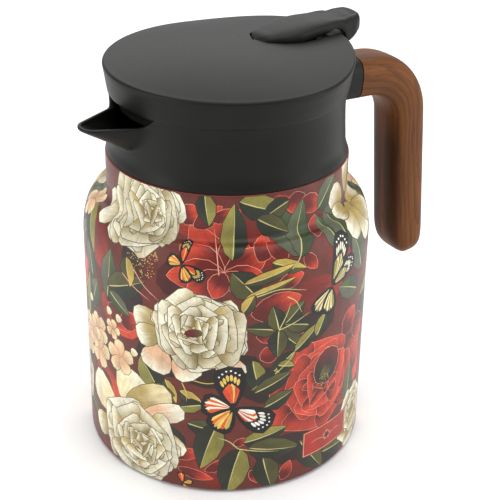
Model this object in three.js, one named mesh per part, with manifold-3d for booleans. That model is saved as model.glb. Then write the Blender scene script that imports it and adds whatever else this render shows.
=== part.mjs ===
// Insulated table jug: a double-walled steel flask under a plastic collar with a pouring spout,
// an L-shaped wooden handle, and a lift-off lid whose thumb lever raises the pouring valve.
// Millimetres, +Z up. The origin is the centre of the base, the handle is on +X, the spout on -X.
import * as THREE from 'three';
import { mergeVertices } from 'three/addons/utils/BufferGeometryUtils.js';
import Module from 'manifold-3d';

const wasm = await Module();
wasm.setup();

// ---------------------------------------------------------------- driving dimensions
const GAP = 0.3; // clearance kept between neighbouring pieces
const ROUND = 32; // sides of the large round pieces
const SMALL_ROUND = 16; // sides of pins, screws and bores
const WELD = 1e-4; // vertices nearer than this are one vertex

const BODY_R = 62.5; // outside of the jug
const SHELL_WALL = 0.8;
const SHELL_FOOT = 0.6; // the shell stops this far above the table
const FOOT_ROUND = 2; // bottom corner of the shell
const SHOULDER_Z = 99.7; // where the straight wall ends
const SHOULDER_RISE = 17.7;
const SHOULDER_IN = 7;
const NECK_FILLET = 3.6;
const NECK_TOP = 137.2;
const MOUTH_R = 42.5; // bore of the flask's mouth
const MOUTH_TOP = 145;

const COLLAR_BOTTOM = NECK_TOP + GAP;
const COLLAR_TOP = 165.65;
const COLLAR_BORE = 47;
const SHELF_TOP = 148.6; // ledge inside the collar, over the mouth

const SPOUT_TIP = 69.5; // distance of the tip from the axis
const SPOUT_RIM = 159.4;
const SPOUT_WALL = 1.5;

const LID_BOTTOM = COLLAR_TOP + GAP;
const LID_SKIRT_R = 50.1;
const LID_RIM_R = 52.45;
const LID_RIM_Z = 175.5;
const LID_SHIFT = 0.75; // the rim's centre stands this far towards the handle
const LID_CROWN = 6.4; // rise of the top from the rim to the centre
const LID_SWEEP = 5.8; // extra rise of the rim under the thumb lever
const LID_SWEEP_ENDS = THREE.MathUtils.degToRad(80); // azimuth where that rise begins
const LID_WALL = 2.2;
const LID_PLATE_Z = 161.3; // underside of the plate that closes the lid
const LID_PLATE = 2;
const LID_PLATE_R = 46.6;

const STOPPER_R = 41.2;
const STOPPER_BORE = 38;
const STOPPER_BOTTOM = 128;
const SEAT_Z = 130; // top of the stopper's floor, where the valve seals
const SEAT_R = 13; // pouring hole in the floor
const STEM_R = 1.5;
const STEM_HEAD_Z = 171.8; // underside of the stem's head

const PIVOT = new THREE.Vector3(36, 0, 172.8); // axis of the thumb lever
const PIN_R = 1.25;
const LEVER_FRONT = 12.8;
const LEVER_BACK = 66.5;
const POCKET_FLOOR = 177.2;
const POCKET_GAP = 1;
const POCKET_BACK = 56; // past the rim, so the pocket is open at the back

const HANDLE_ARM_Z = 156.9; // height of the arm's centre line at the collar
const HANDLE_ARM_X = 50;
const HANDLE_DROOP = THREE.MathUtils.degToRad(2.5);
const HANDLE_LEAN = THREE.MathUtils.degToRad(4.75);
const HANDLE_GRIP = new THREE.Vector2(98, 105); // a point on the grip's centre line, x and z
const HANDLE_BEND_R = 23.6;
const HANDLE_DEPTH = 9.65; // half thickness, away from the jug
const HANDLE_WIDTH = 10.7; // half width, across
const HANDLE_END_Z = 58; // lowest point of the grip
const FERRULE_END = 63.7;
const TENON_R = 5;
const TENON_END = 84;

// ---------------------------------------------------------------- finishes
const finishes = {
  print: { color: 0x7a3026, roughness: 0.42, metalness: 0.1 },
  steel: { color: 0xb9bcc0, roughness: 0.32, metalness: 1 },
  black: { color: 0x2b2b29, roughness: 0.5, metalness: 0 },
  silicone: { color: 0xd9d7d0, roughness: 0.7, metalness: 0 },
  rubber: { color: 0x1e1e1f, roughness: 0.8, metalness: 0 },
  walnut: { color: 0x7a4d2f, roughness: 0.45, metalness: 0 },
};

// ---------------------------------------------------------------- solid helpers

/** Merges shared vertices, drops collapsed triangles and turns the faces outwards. */
function closed(geometry) {
  geometry.deleteAttribute('normal');
  geometry.deleteAttribute('uv');
  const welded = mergeVertices(geometry, WELD);
  const corners = welded.index.array;
  const at = welded.attributes.position;
  const points = Array.from({ length: at.count }, (_, i) => new THREE.Vector3().fromBufferAttribute(at, i));
  const kept = [];
  let volume = 0;
  for (let i = 0; i < corners.length; i += 3) {
    const [a, b, c] = corners.slice(i, i + 3);
    if (a === b || b === c || c === a) continue;
    kept.push(a, b, c);
    volume += points[a].dot(points[b].clone().cross(points[c]));
  }
  if (volume < 0) kept.reverse();
  welded.setIndex(kept);
  return welded;
}

function toSolid(geometry) {
  return new wasm.Manifold(new wasm.Mesh({
    numProp: 3,
    vertProperties: new Float32Array(geometry.attributes.position.array),
    triVerts: new Uint32Array(geometry.index.array),
  }));
}

function fromSolid(solid) {
  const mesh = solid.getMesh();
  const geometry = new THREE.BufferGeometry();
  geometry.setAttribute('position', new THREE.BufferAttribute(mesh.vertProperties, 3));
  geometry.setIndex(new THREE.BufferAttribute(mesh.triVerts, 1));
  return geometry;
}

const join = (first, ...others) => fromSolid(others.reduce((sum, each) => sum.add(toSolid(each)), toSolid(first)));
const cut = (first, ...tools) => fromSolid(tools.reduce((rest, each) => rest.subtract(toSolid(each)), toSolid(first)));

/** Turns a profile of [radius, height] points round the Z axis. */
function revolve(profile, sides = ROUND) {
  const points = profile.map(([r, z]) => new THREE.Vector2(r, z));
  return closed(new THREE.LatheGeometry(points, sides).rotateX(Math.PI / 2));
}

/** The same for a profile that is a loop clear of the axis. */
const revolveLoop = (profile, sides = ROUND) => revolve([...profile, profile[0]], sides);

/** A ring of rectangular section. */
const ring = (inner, outer, low, high) => revolveLoop([[inner, low], [outer, low], [outer, high], [inner, high]]);

/** A solid disc or drum on the Z axis. */
const drum = (radius, low, high, sides = ROUND) => revolve([[0, low], [radius, low], [radius, high], [0, high]], sides);

/** Points of an elliptical arc in a profile, from one angle to another in degrees. */
function arc(centreR, centreZ, radiusR, radiusZ, from, to, steps = 6) {
  return Array.from({ length: steps + 1 }, (_, i) => {
    const angle = THREE.MathUtils.degToRad(from + ((to - from) * i) / steps);
    return [centreR + radiusR * Math.cos(angle), centreZ + radiusZ * Math.sin(angle)];
  });
}

/** A straight round bar between two points. */
function bar(radius, from, to, sides = SMALL_ROUND) {
  const along = to.clone().sub(from);
  const geometry = new THREE.CylinderGeometry(radius, radius, along.length(), sides);
  const turn = new THREE.Quaternion().setFromUnitVectors(new THREE.Vector3(0, 1, 0), along.clone().normalize());
  geometry.applyQuaternion(turn);
  geometry.translate(...from.clone().add(to).multiplyScalar(0.5).toArray());
  return closed(geometry);
}

const uprightBar = (radius, x, y, low, high) => bar(radius, new THREE.Vector3(x, y, low), new THREE.Vector3(x, y, high));

/** A box between two corners. */
function block([x0, y0, z0], [x1, y1, z1]) {
  const geometry = new THREE.BoxGeometry(x1 - x0, y1 - y0, z1 - z0);
  geometry.translate((x0 + x1) / 2, (y0 + y1) / 2, (z0 + z1) / 2);
  return closed(geometry);
}

/** Skins rings of equal point counts into a body closed by a cap at each end. */
function loft(rings) {
  const count = rings[0].length;
  const middles = [rings[0], rings.at(-1)].map((each) =>
    each.reduce((sum, p) => sum.add(p), new THREE.Vector3()).divideScalar(count));
  const vertices = [...rings.flat(), ...middles];
  const triangles = [];
  const id = (row, column) => row * count + (column % count);
  for (let row = 0; row + 1 < rings.length; row += 1) {
    for (let i = 0; i < count; i += 1) {
      triangles.push(id(row, i), id(row, i + 1), id(row + 1, i));
      triangles.push(id(row + 1, i), id(row, i + 1), id(row + 1, i + 1));
    }
  }
  const last = rings.length - 1;
  const [firstMiddle, lastMiddle] = [rings.length * count, rings.length * count + 1];
  for (let i = 0; i < count; i += 1) {
    triangles.push(firstMiddle, id(0, i + 1), id(0, i));
    triangles.push(lastMiddle, id(last, i), id(last, i + 1));
  }
  const geometry = new THREE.BufferGeometry().setFromPoints(vertices);
  geometry.setIndex(triangles);
  return closed(geometry);
}

/** A smooth function through a few [x, y] points, for outlines that change along a length. */
function curveThrough(knots) {
  const spline = new THREE.SplineCurve(knots.map(([x, y]) => new THREE.Vector2(x, y)));
  const samples = spline.getPoints(knots.length * 12);
  return (x) => {
    const next = samples.findIndex((p) => p.x >= x);
    if (next <= 0) return next === 0 ? samples[0].y : samples.at(-1).y;
    const [a, b] = [samples[next - 1], samples[next]];
    return THREE.MathUtils.lerp(a.y, b.y, (x - a.x) / (b.x - a.x));
  };
}

const signedPower = (value, power) => Math.sign(value) * Math.abs(value) ** power;
const spread = (from, to, steps) => Array.from({ length: steps + 1 }, (_, i) => from + ((to - from) * i) / steps);

// ---------------------------------------------------------------- flask

/** The outside of the printed shell, offset inwards, from the foot to the bend over the neck. */
function shellLine(inwards) {
  const footR = BODY_R - FOOT_ROUND;
  const footZ = SHELL_FOOT + FOOT_ROUND;
  const shoulderR = BODY_R - SHOULDER_IN;
  const neckR = shoulderR - NECK_FILLET;
  const filletZ = SHOULDER_Z + SHOULDER_RISE + NECK_FILLET;
  const bend = 0.9;
  return [
    [footR - FOOT_ROUND, SHELL_FOOT + inwards],
    ...arc(footR, footZ, FOOT_ROUND - inwards, FOOT_ROUND - inwards, -90, 0, 2),
    ...arc(shoulderR, SHOULDER_Z, SHOULDER_IN - inwards, SHOULDER_RISE - inwards, 0, 90, 6),
    ...arc(shoulderR, filletZ, NECK_FILLET + inwards, NECK_FILLET + inwards, -90, -180, 3).slice(1),
    [neckR - inwards, NECK_TOP - bend],
    [neckR - bend, NECK_TOP - inwards],
  ];
}

function outerShell() {
  const neckInside = MOUTH_R + SHELL_WALL + GAP;
  const neckOutside = neckInside + SHELL_WALL;
  const outside = [...shellLine(0), [neckOutside, NECK_TOP], [neckOutside, MOUTH_TOP]];
  const inside = [...shellLine(SHELL_WALL), [neckInside, NECK_TOP - SHELL_WALL], [neckInside, MOUTH_TOP]];
  return revolveLoop([...outside, ...inside.reverse()]);
}

function innerFlask() {
  const wideR = 57.5;
  const floorZ = 9;
  const floorRound = 10;
  const shoulderZ = 96;
  const shoulderRise = 17.5;
  const fillet = 3.7;
  const line = (out) => [
    [0, floorZ - out],
    ...arc(wideR - floorRound, floorZ + floorRound, floorRound + out, floorRound + out, -90, 0, 3),
    ...arc(MOUTH_R + fillet, shoulderZ, wideR - MOUTH_R - fillet + out, shoulderRise + out, 0, 90, 4),
    ...arc(MOUTH_R + fillet, shoulderZ + shoulderRise + fillet, fillet - out, fillet - out, -90, -180, 2).slice(1),
    [MOUTH_R + out, MOUTH_TOP],
  ];
  return revolve([...line(SHELL_WALL), ...line(0).reverse()]);
}

function basePlate() {
  const plateR = 60.8;
  const low = 1.8;
  const dimpleR = 14;
  const dimpleRise = 1.8;
  const top = low + SHELL_WALL;
  return revolve([
    [0, low + dimpleRise], [dimpleR - 2, low + dimpleRise], [dimpleR, low], [plateR, low],
    [plateR, top], [dimpleR, top], [dimpleR - 2, top + dimpleRise], [0, top + dimpleRise],
  ]);
}

function vacuumSealCap() {
  return revolve([[0, 2.1], [4.8, 2.1], [6, 2.6], [6, 3.3], [0, 3.3]], 24);
}

function basePad() {
  const padR = 57.9;
  return revolve([[0, 0], [padR - 0.5, 0], [padR, 0.5], [padR, 1.5], [0, 1.5]]);
}

// ---------------------------------------------------------------- collar and spout

/** Outside of the collar, standing proud by the given amount. */
const collarLine = (proud) => [
  [51.3, COLLAR_BOTTOM], [51.15, 138.3], [50.35, 141.3], [49.93, 146.3],
  [49.55, 153.1], [49.45, 160], [49.75, 163.6], [50, COLLAR_TOP],
].map(([r, z]) => [r + proud, z]);

/** Size of the spout at a distance behind its tip: half width, height of its edge and of its keel. */
function spoutAt(behind) {
  const tipLength = 3.5;
  const rootStart = 19.5;
  const riseStart = 16;
  const flank = 2.38 + 0.519 * behind + 0.16 * Math.max(0, behind - rootStart) ** 2;
  const roundness = behind < tipLength ? Math.sqrt(1 - (1 - behind / tipLength) ** 2) : 1;
  return {
    halfWidth: flank * roundness,
    edge: SPOUT_RIM + 0.085 * Math.max(0, behind - riseStart) ** 2,
    keel: SPOUT_RIM - 1.2 - 0.6 * behind,
  };
}

/** One U-shaped section across the spout. */
function spoutSection(x, halfWidth, top, bottom) {
  const across = spread(0, Math.PI, 10);
  return across.map((t) => new THREE.Vector3(x, halfWidth * Math.cos(t), top - (top - bottom) * Math.sin(t) ** 0.9));
}

function spoutBody() {
  const stations = [0.15, 0.8, 2, 3.5, 7, 12, 16, 18.5, 20.5, 22.5, 24.5];
  return loft(stations.map((behind) => {
    const { halfWidth, edge, keel } = spoutAt(behind);
    return spoutSection(behind - SPOUT_TIP, halfWidth, edge, keel);
  }));
}

function spoutChannel() {
  const floorWall = 1.9;
  const above = COLLAR_TOP + 3;
  const stations = [1.7, 2.4, 3.5, 7, 12, 16, 20, 28];
  return loft(stations.map((behind) => {
    const { halfWidth, keel } = spoutAt(Math.min(behind, 20));
    const floor = Math.max(keel + floorWall, SHELF_TOP + GAP);
    return spoutSection(behind - SPOUT_TIP, halfWidth - SPOUT_WALL, above, Math.min(floor, SPOUT_RIM - 0.4));
  }));
}

function collar() {
  const outside = revolve([[0, COLLAR_BOTTOM], ...collarLine(0), [0, COLLAR_TOP]]);
  const lowerBore = drum(COLLAR_BORE, COLLAR_BOTTOM - 1, MOUTH_TOP + 1.8);
  const shelfHole = drum(MOUTH_R + 0.4, MOUTH_TOP, SHELF_TOP + 1);
  const upperBore = drum(COLLAR_BORE, SHELF_TOP, COLLAR_TOP + 1);
  const screw = handleAxis();
  const counterbore = bar(3.8, screw.at(HANDLE_ARM_X - 6), screw.at(HANDLE_ARM_X - 1.5));
  const screwHole = bar(2, screw.at(HANDLE_ARM_X - 6), screw.at(HANDLE_ARM_X + 3));
  return cut(join(outside, spoutBody()), lowerBore, shelfHole, upperBore, spoutChannel(), counterbore, screwHole);
}

// ---------------------------------------------------------------- handle

/** The straight centre line of the handle's arm: at(x) is its point at that distance from the axis. */
function handleAxis() {
  const height = (x) => HANDLE_ARM_Z - (x - HANDLE_ARM_X) * Math.tan(HANDLE_DROOP);
  return { at: (x) => new THREE.Vector3(x, 0, height(x)) };
}

/** Centre line of the whole handle in the XZ plane, as points with their directions. */
function handleLine() {
  const armWay = new THREE.Vector2(Math.cos(HANDLE_DROOP), -Math.sin(HANDLE_DROOP));
  const gripWay = new THREE.Vector2(Math.sin(HANDLE_LEAN), -Math.cos(HANDLE_LEAN));
  const armStart = new THREE.Vector2(HANDLE_ARM_X, HANDLE_ARM_Z);
  const between = HANDLE_GRIP.clone().sub(armStart);
  const armLength = between.cross(gripWay) / armWay.cross(gripWay);
  const corner = armStart.clone().addScaledVector(armWay, armLength);
  const turn = Math.acos(armWay.dot(gripWay));
  const tangent = HANDLE_BEND_R * Math.tan(turn / 2);
  const bendStart = corner.clone().addScaledVector(armWay, -tangent);
  const bendEnd = corner.clone().addScaledVector(gripWay, tangent);
  const bendCentre = bendStart.clone().add(new THREE.Vector2(armWay.y, -armWay.x).multiplyScalar(HANDLE_BEND_R));
  const woodStart = armStart.clone().addScaledVector(armWay, (FERRULE_END + GAP - HANDLE_ARM_X) / armWay.x);
  const gripLength = (bendEnd.y - HANDLE_END_Z) / -gripWay.y;
  const arm = spread(0, 1, 2).slice(0, -1).map((t) => ({ at: woodStart.clone().lerp(bendStart, t), way: armWay }));
  const bend = spread(0, turn, 8).map((angle) => ({
    at: bendStart.clone().rotateAround(bendCentre, -angle),
    way: armWay.clone().rotateAround(new THREE.Vector2(), -angle),
  }));
  const grip = [0.35, 0.7].map((t) => ({ at: bendEnd.clone().addScaledVector(gripWay, gripLength * t), way: gripWay }));
  const endPoint = bendEnd.clone().addScaledVector(gripWay, gripLength);
  return { stations: [...arm, ...bend, ...grip], endPoint, gripWay };
}

/** A rounded section across the handle; the outer and inner halves can differ in depth. */
function handleSection(at, way, outer = HANDLE_DEPTH, inner = HANDLE_DEPTH, width = HANDLE_WIDTH) {
  const squareness = 2 / 3.2;
  const outwards = new THREE.Vector2(-way.y, way.x);
  return spread(0, 2 * Math.PI, 16).slice(0, -1).map((angle) => {
    const depth = signedPower(Math.cos(angle), squareness) * (Math.cos(angle) > 0 ? outer : inner);
    const across = signedPower(Math.sin(angle), squareness) * width;
    return new THREE.Vector3(at.x + outwards.x * depth, across, at.y + outwards.y * depth);
  });
}

/** The grip's free end: round on the outside and cut back further on the side towards the jug. */
function handleEnd(endPoint, gripWay) {
  const innerLength = 19;
  const outerLength = 9;
  return [17, 12, 7.5, 4, 1.5, 0.2].map((left) => {
    const full = (length) => Math.sqrt(1 - Math.max(0, 1 - left / length) ** 2);
    const at = endPoint.clone().addScaledVector(gripWay, -left);
    const inner = HANDLE_DEPTH * (2 * full(innerLength) - 1);
    const width = HANDLE_WIDTH * full(outerLength);
    const outer = HANDLE_DEPTH * full(outerLength);
    return handleSection(at, gripWay, outer, Math.max(inner, 0.1 - outer), width);
  });
}

function woodHandle() {
  const { stations, endPoint, gripWay } = handleLine();
  const body = loft([...stations.map(({ at, way }) => handleSection(at, way)), ...handleEnd(endPoint, gripWay)]);
  const axis = handleAxis();
  return cut(body, bar(TENON_R + GAP, axis.at(FERRULE_END - 2), axis.at(TENON_END + GAP)));
}

function handleFerrule() {
  const axis = handleAxis();
  const way = new THREE.Vector2(Math.cos(HANDLE_DROOP), -Math.sin(HANDLE_DROOP));
  const sections = [HANDLE_ARM_X - 6, FERRULE_END].map((x) => {
    const { x: along, z } = axis.at(x);
    return handleSection(new THREE.Vector2(along, z), way);
  });
  const besideLid = LID_SKIRT_R + 1.3;
  const neighbour = revolve([
    [0, COLLAR_BOTTOM], ...collarLine(GAP), [besideLid, COLLAR_TOP], [besideLid, LID_RIM_Z], [0, LID_RIM_Z],
  ]);
  const tenonBore = bar(TENON_R + GAP, axis.at(HANDLE_ARM_X + 2), axis.at(FERRULE_END + 2));
  const screwBore = bar(2, axis.at(HANDLE_ARM_X - 4), axis.at(HANDLE_ARM_X + 3));
  return cut(loft(sections), neighbour, tenonBore, screwBore);
}

function handleTenon() {
  const axis = handleAxis();
  const body = bar(TENON_R, axis.at(HANDLE_ARM_X + 2 + GAP), axis.at(TENON_END));
  return cut(body, bar(2, axis.at(HANDLE_ARM_X), axis.at(HANDLE_ARM_X + 17)));
}

function handleScrew() {
  const axis = handleAxis();
  const head = bar(3.4, axis.at(COLLAR_BORE + 0.15), axis.at(COLLAR_BORE + 1.2));
  return join(head, bar(1.6, axis.at(COLLAR_BORE + 1), axis.at(HANDLE_ARM_X + 15)));
}

// ---------------------------------------------------------------- lid

/** Height of the lid's top at a share of the rim's radius and an azimuth. */
function lidTop(share, azimuth) {
  const away = Math.min(1, Math.abs(Math.atan2(Math.sin(azimuth), Math.cos(azimuth))) / LID_SWEEP_ENDS);
  const sweep = (LID_SWEEP * (1 + Math.cos(Math.PI * away)) * share ** 3) / 2;
  return LID_RIM_Z + LID_CROWN * (1 - share ** 2.2) + sweep;
}

/** A ring round the lid from a radius, a height and a share of the rim's sideways shift. */
function lidRing(radius, shift, heightAt) {
  return spread(0, 2 * Math.PI, ROUND).slice(0, -1).map((azimuth) => new THREE.Vector3(
    LID_SHIFT * shift + radius * Math.cos(azimuth), radius * Math.sin(azimuth), heightAt(azimuth)));
}

const topRing = (share, drop) => lidRing(LID_RIM_R * share, share, (azimuth) => lidTop(share, azimuth) - drop);

/** Outline of the thumb lever from above: its half width along its length. */
const leverHalfWidth = curveThrough([
  [LEVER_FRONT, 0.3], [14.4, 4.2], [19, 8.2], [28, 11], [38, 10.3], [48, 9.1],
  [57, 8.9], [62.5, 7.6], [65.4, 4.6], [LEVER_BACK, 0.4],
]);

const leverTop = curveThrough([
  [LEVER_FRONT, 181.2], [15, 182.9], [20, 184.3], [28, 185.6], [37, 186.4], [46, 186.3],
  [54, 186.5], [61, 187.1], [64.5, 186.6], [LEVER_BACK, 184],
]);

const leverBottom = curveThrough([
  [LEVER_FRONT, 180], [15, 178.7], [20, 178.3], [30, 178.3], [37, 179.3], [44, 180.2],
  [52, 180.2], [58, 179.5], [63, 179.4], [LEVER_BACK, 181.6],
]);

/** The pocket in the lid's top that the front of the lever lies in. */
function leverPocket() {
  const outline = spread(LEVER_FRONT, POCKET_BACK, 14).map((x) => [x, leverHalfWidth(x) + POCKET_GAP]);
  outline.unshift([LEVER_FRONT - POCKET_GAP, 1]);
  const shape = new THREE.Shape([
    ...outline.map(([x, y]) => new THREE.Vector2(x, y)),
    ...outline.map(([x, y]) => new THREE.Vector2(x, -y)).reverse(),
  ]);
  const geometry = new THREE.ExtrudeGeometry(shape, { depth: 20, bevelEnabled: false });
  return closed(geometry.translate(0, 0, POCKET_FLOOR));
}

/** Places of the screws that hold the lid's plate to its cover. */
const lidScrewPlaces = [60, 180, 300].map((degrees) => {
  const angle = THREE.MathUtils.degToRad(degrees);
  return [30 * Math.cos(angle), 30 * Math.sin(angle)];
});

function lidCover() {
  const inside = LID_SKIRT_R - LID_WALL - 0.5;
  const outsideRings = [
    topRing(0.02, 0), topRing(0.3, 0), topRing(0.55, 0), topRing(0.76, 0), topRing(0.9, 0),
    topRing(0.975, 0.15), topRing(0.995, 0.6),
    lidRing(LID_RIM_R, 1, (azimuth) => lidTop(1, azimuth) - 1.4),
    lidRing(LID_SKIRT_R + 0.5, 0.2, () => LID_BOTTOM + 2.5),
    lidRing(LID_SKIRT_R, 0, () => LID_BOTTOM),
  ];
  const insideRings = [
    lidRing(inside, 0, () => LID_BOTTOM),
    lidRing(inside + 0.5, 0.3, () => LID_RIM_Z - 4),
    topRing(0.9, LID_WALL), topRing(0.6, LID_WALL), topRing(0.02, LID_WALL),
  ];
  const shell = loft([...outsideRings, ...insideRings]);
  const panLow = POCKET_FLOOR - 1.8;
  const pan = block([LEVER_FRONT - 4, -14, panLow], [45, 14, POCKET_FLOOR + 2]);
  const backPan = block([44, -10.9, panLow], [50.8, 10.9, POCKET_FLOOR + 2]);
  const bosses = lidScrewPlaces.map(([x, y]) => uprightBar(3.2, x, y, LID_PLATE_Z + LID_PLATE + GAP, LID_RIM_Z + 2.5));
  const holes = lidScrewPlaces.map(([x, y]) => uprightBar(1.7, x, y, LID_PLATE_Z, LID_RIM_Z - 4));
  const slot = block([28.6, -5.4, POCKET_FLOOR - 4], [43.6, 5.4, POCKET_FLOOR + 4]);
  return cut(join(shell, pan, backPan, ...bosses), leverPocket(), slot, ...holes);
}

function lidPlate() {
  const upstandTop = 168;
  const plateTop = LID_PLATE_Z + LID_PLATE;
  const plate = revolve([
    [0, LID_PLATE_Z], [LID_PLATE_R, LID_PLATE_Z], [LID_PLATE_R, upstandTop],
    [LID_PLATE_R - 2, upstandTop], [LID_PLATE_R - 2, plateTop], [0, plateTop],
  ]);
  const ears = [-1, 1].map((side) => {
    const [near, far] = [5 * side, 7 * side].sort((a, b) => a - b);
    return block([PIVOT.x - 4, near, LID_PLATE_Z + 1], [PIVOT.x + 4, far, PIVOT.z + 2.2]);
  });
  const pinHole = bar(PIN_R + GAP, new THREE.Vector3(PIVOT.x, -9, PIVOT.z), new THREE.Vector3(PIVOT.x, 9, PIVOT.z));
  const stemHole = uprightBar(STEM_R + 0.5, 0, 0, LID_PLATE_Z - 1, plateTop + 1);
  const screwHoles = lidScrewPlaces.map(([x, y]) => uprightBar(1.7, x, y, LID_PLATE_Z - 1, plateTop + 1));
  return cut(join(plate, ...ears), pinHole, stemHole, ...screwHoles);
}

function lidScrew() {
  const headLow = LID_PLATE_Z - 1.8;
  const headTop = LID_PLATE_Z - GAP;
  return revolve([[0, headLow], [2.9, headLow], [2.9, headTop], [1.3, headTop], [1.3, 170.5], [0, 171.2]], SMALL_ROUND);
}

/** The stopper: a cup with the valve seat in its floor and a pouring window facing the spout. */
function stopperCup() {
  const flangeR = LID_PLATE_R;
  const flangeLow = 158.5;
  const top = LID_PLATE_Z - GAP;
  const grooveR = STOPPER_R - 1.5;
  const cup = revolveLoop([
    [SEAT_R, STOPPER_BOTTOM], [STOPPER_R - 1.5, STOPPER_BOTTOM], [STOPPER_R, STOPPER_BOTTOM + 1.5],
    [STOPPER_R, 136], [grooveR, 136], [grooveR, 140.6], [STOPPER_R, 140.6],
    [STOPPER_R, flangeLow], [flangeR, flangeLow], [flangeR, top],
    [STOPPER_BORE, top], [STOPPER_BORE, SEAT_Z], [SEAT_R, SEAT_Z],
  ]);
  const window = block([-STOPPER_R - 2, -17, SHELF_TOP], [-STOPPER_BORE + 12, 17, flangeLow - 0.5]);
  return cut(cup, window);
}

function stopperGasket() {
  const inner = STOPPER_R - 1.2;
  const lip = MOUTH_R - GAP;
  return revolveLoop([[inner, 136.3], [lip, 137], [lip - 0.5, 138.3], [lip, 139.6], [inner, 140.3]]);
}

// ---------------------------------------------------------------- thumb lever and valve

function leverPin() {
  return bar(PIN_R, new THREE.Vector3(PIVOT.x, -7, PIVOT.z), new THREE.Vector3(PIVOT.x, 7, PIVOT.z));
}

function leverSection(x) {
  const halfWidth = leverHalfWidth(x);
  const top = leverTop(x);
  const bottom = leverBottom(x);
  const middle = bottom + (top - bottom) * 0.45;
  return spread(0, 2 * Math.PI, 16).slice(0, -1).map((angle) => {
    const height = signedPower(Math.sin(angle), 0.75);
    const z = middle + height * (height > 0 ? top - middle : middle - bottom);
    return new THREE.Vector3(x, halfWidth * signedPower(Math.cos(angle), 0.75), z);
  });
}

function thumbLever() {
  const stations = [LEVER_FRONT, 13.6, 15.5, 19, 24, 30, 36, 42, 48, 54, 59, 63, 65.4, 66.3, LEVER_BACK];
  const body = loft(stations.map(leverSection));
  const web = block([PIVOT.x - 5.5, -4.6, PIVOT.z - 3.4], [PIVOT.x + 5.5, 4.6, POCKET_FLOOR + 5]);
  const armTop = STEM_HEAD_Z - GAP;
  const arm = block([-STEM_R, -4.2, armTop - 2.9], [PIVOT.x - 2, 4.2, armTop]);
  const stemSlot = block([-STEM_R - 2, -STEM_R - 0.5, armTop - 6], [STEM_R + 1.2, STEM_R + 0.5, armTop + 1]);
  const pinHole = bar(PIN_R + GAP, new THREE.Vector3(PIVOT.x, -9, PIVOT.z), new THREE.Vector3(PIVOT.x, 9, PIVOT.z));
  return cut(join(body, web, arm), stemSlot, pinHole);
}

const DISC_LOW = SEAT_Z + 2.1;
const DISC_TOP = DISC_LOW + 2;

function valveStem() {
  const footR = 4;
  const footTop = DISC_LOW - GAP;
  return revolve([
    [0, footTop - 1], [footR, footTop - 1], [footR, footTop], [STEM_R, footTop],
    [STEM_R, STEM_HEAD_Z], [4.5, STEM_HEAD_Z], [4.5, STEM_HEAD_Z + 1], [3.5, STEM_HEAD_Z + 1.6], [0, STEM_HEAD_Z + 1.6],
  ], SMALL_ROUND);
}

function valveDisc() {
  const bore = STEM_R + GAP;
  const hubTop = DISC_TOP + 4;
  return revolveLoop([[bore, DISC_LOW], [17, DISC_LOW], [17, DISC_TOP], [4, DISC_TOP], [4, hubTop], [bore, hubTop]], 32);
}

function valveSeal() {
  const low = SEAT_Z + GAP;
  return revolveLoop([[11, low + 0.6], [14, low], [16.8, low + 0.4], [16.8, DISC_LOW - GAP], [11, DISC_LOW - GAP]], 32);
}

class Helix extends THREE.Curve {
  constructor(radius, low, high, turns) {
    super();
    Object.assign(this, { radius, low, high, turns });
  }

  getPoint(t, target = new THREE.Vector3()) {
    const angle = 2 * Math.PI * this.turns * t;
    const z = this.low + (this.high - this.low) * t;
    return target.set(this.radius * Math.cos(angle), this.radius * Math.sin(angle), z);
  }
}

function valveSpring() {
  const wireR = 0.6;
  const turns = 5;
  const wire = new THREE.Shape(spread(0, 2 * Math.PI, 6).slice(0, -1).map((angle) =>
    new THREE.Vector2(wireR * Math.cos(angle), wireR * Math.sin(angle))));
  const path = new Helix(5.6, DISC_TOP + GAP + wireR, LID_PLATE_Z - GAP - wireR, turns);
  return closed(new THREE.ExtrudeGeometry(wire, { steps: turns * 10, extrudePath: path, bevelEnabled: false }));
}

// ---------------------------------------------------------------- assembly

function piece(name, geometry, finish) {
  geometry.computeVertexNormals();
  const mesh = new THREE.Mesh(geometry, new THREE.MeshStandardMaterial(finishes[finish]));
  mesh.name = name;
  return mesh;
}

const jug = new THREE.Group();
jug.add(
  piece('outer_shell', outerShell(), 'print'),
  piece('inner_flask', innerFlask(), 'steel'),
  piece('base_plate', basePlate(), 'steel'),
  piece('vacuum_seal_cap', vacuumSealCap(), 'steel'),
  piece('base_pad', basePad(), 'rubber'),
  piece('neck_ring', ring(44.7, 46.7, COLLAR_BOTTOM, MOUTH_TOP), 'black'),
  piece('mouth_seal', ring(43, 46.6, MOUTH_TOP + GAP, MOUTH_TOP + 1.5), 'silicone'),
  piece('collar', collar(), 'black'),
  piece('handle_ferrule', handleFerrule(), 'black'),
  piece('handle_tenon', handleTenon(), 'steel'),
  piece('handle_screw', handleScrew(), 'steel'),
  piece('wood_handle', woodHandle(), 'walnut'),
);

const lid = new THREE.Group();
lid.add(
  piece('lid_cover', lidCover(), 'black'),
  piece('lid_plate', lidPlate(), 'black'),
  piece('stopper_cup', stopperCup(), 'black'),
  piece('stopper_gasket', stopperGasket(), 'silicone'),
  piece('lever_pin', leverPin(), 'steel'),
  piece('valve_spring', valveSpring(), 'steel'),
);
lidScrewPlaces.forEach(([x, y], i) => {
  const screw = piece(`lid_screw_${i + 1}`, lidScrew(), 'steel');
  screw.position.set(x, y, 0);
  lid.add(screw);
});

const lever = piece('thumb_lever', thumbLever(), 'black');

const valve = new THREE.Group();
valve.add(
  piece('valve_stem', valveStem(), 'steel'),
  piece('valve_disc', valveDisc(), 'black'),
  piece('valve_seal', valveSeal(), 'silicone'),
);

const model = new THREE.Group();
model.add(jug, lid, lever, valve);
export default model;
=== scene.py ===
"""Insulated table jug with a floral print: fine surfaces, materials, light and camera on the CAD frame.

Metres, +Z up. The origin is the centre of the base, the handle is on +X and the spout on -X.
"""
import math
import random

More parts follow.
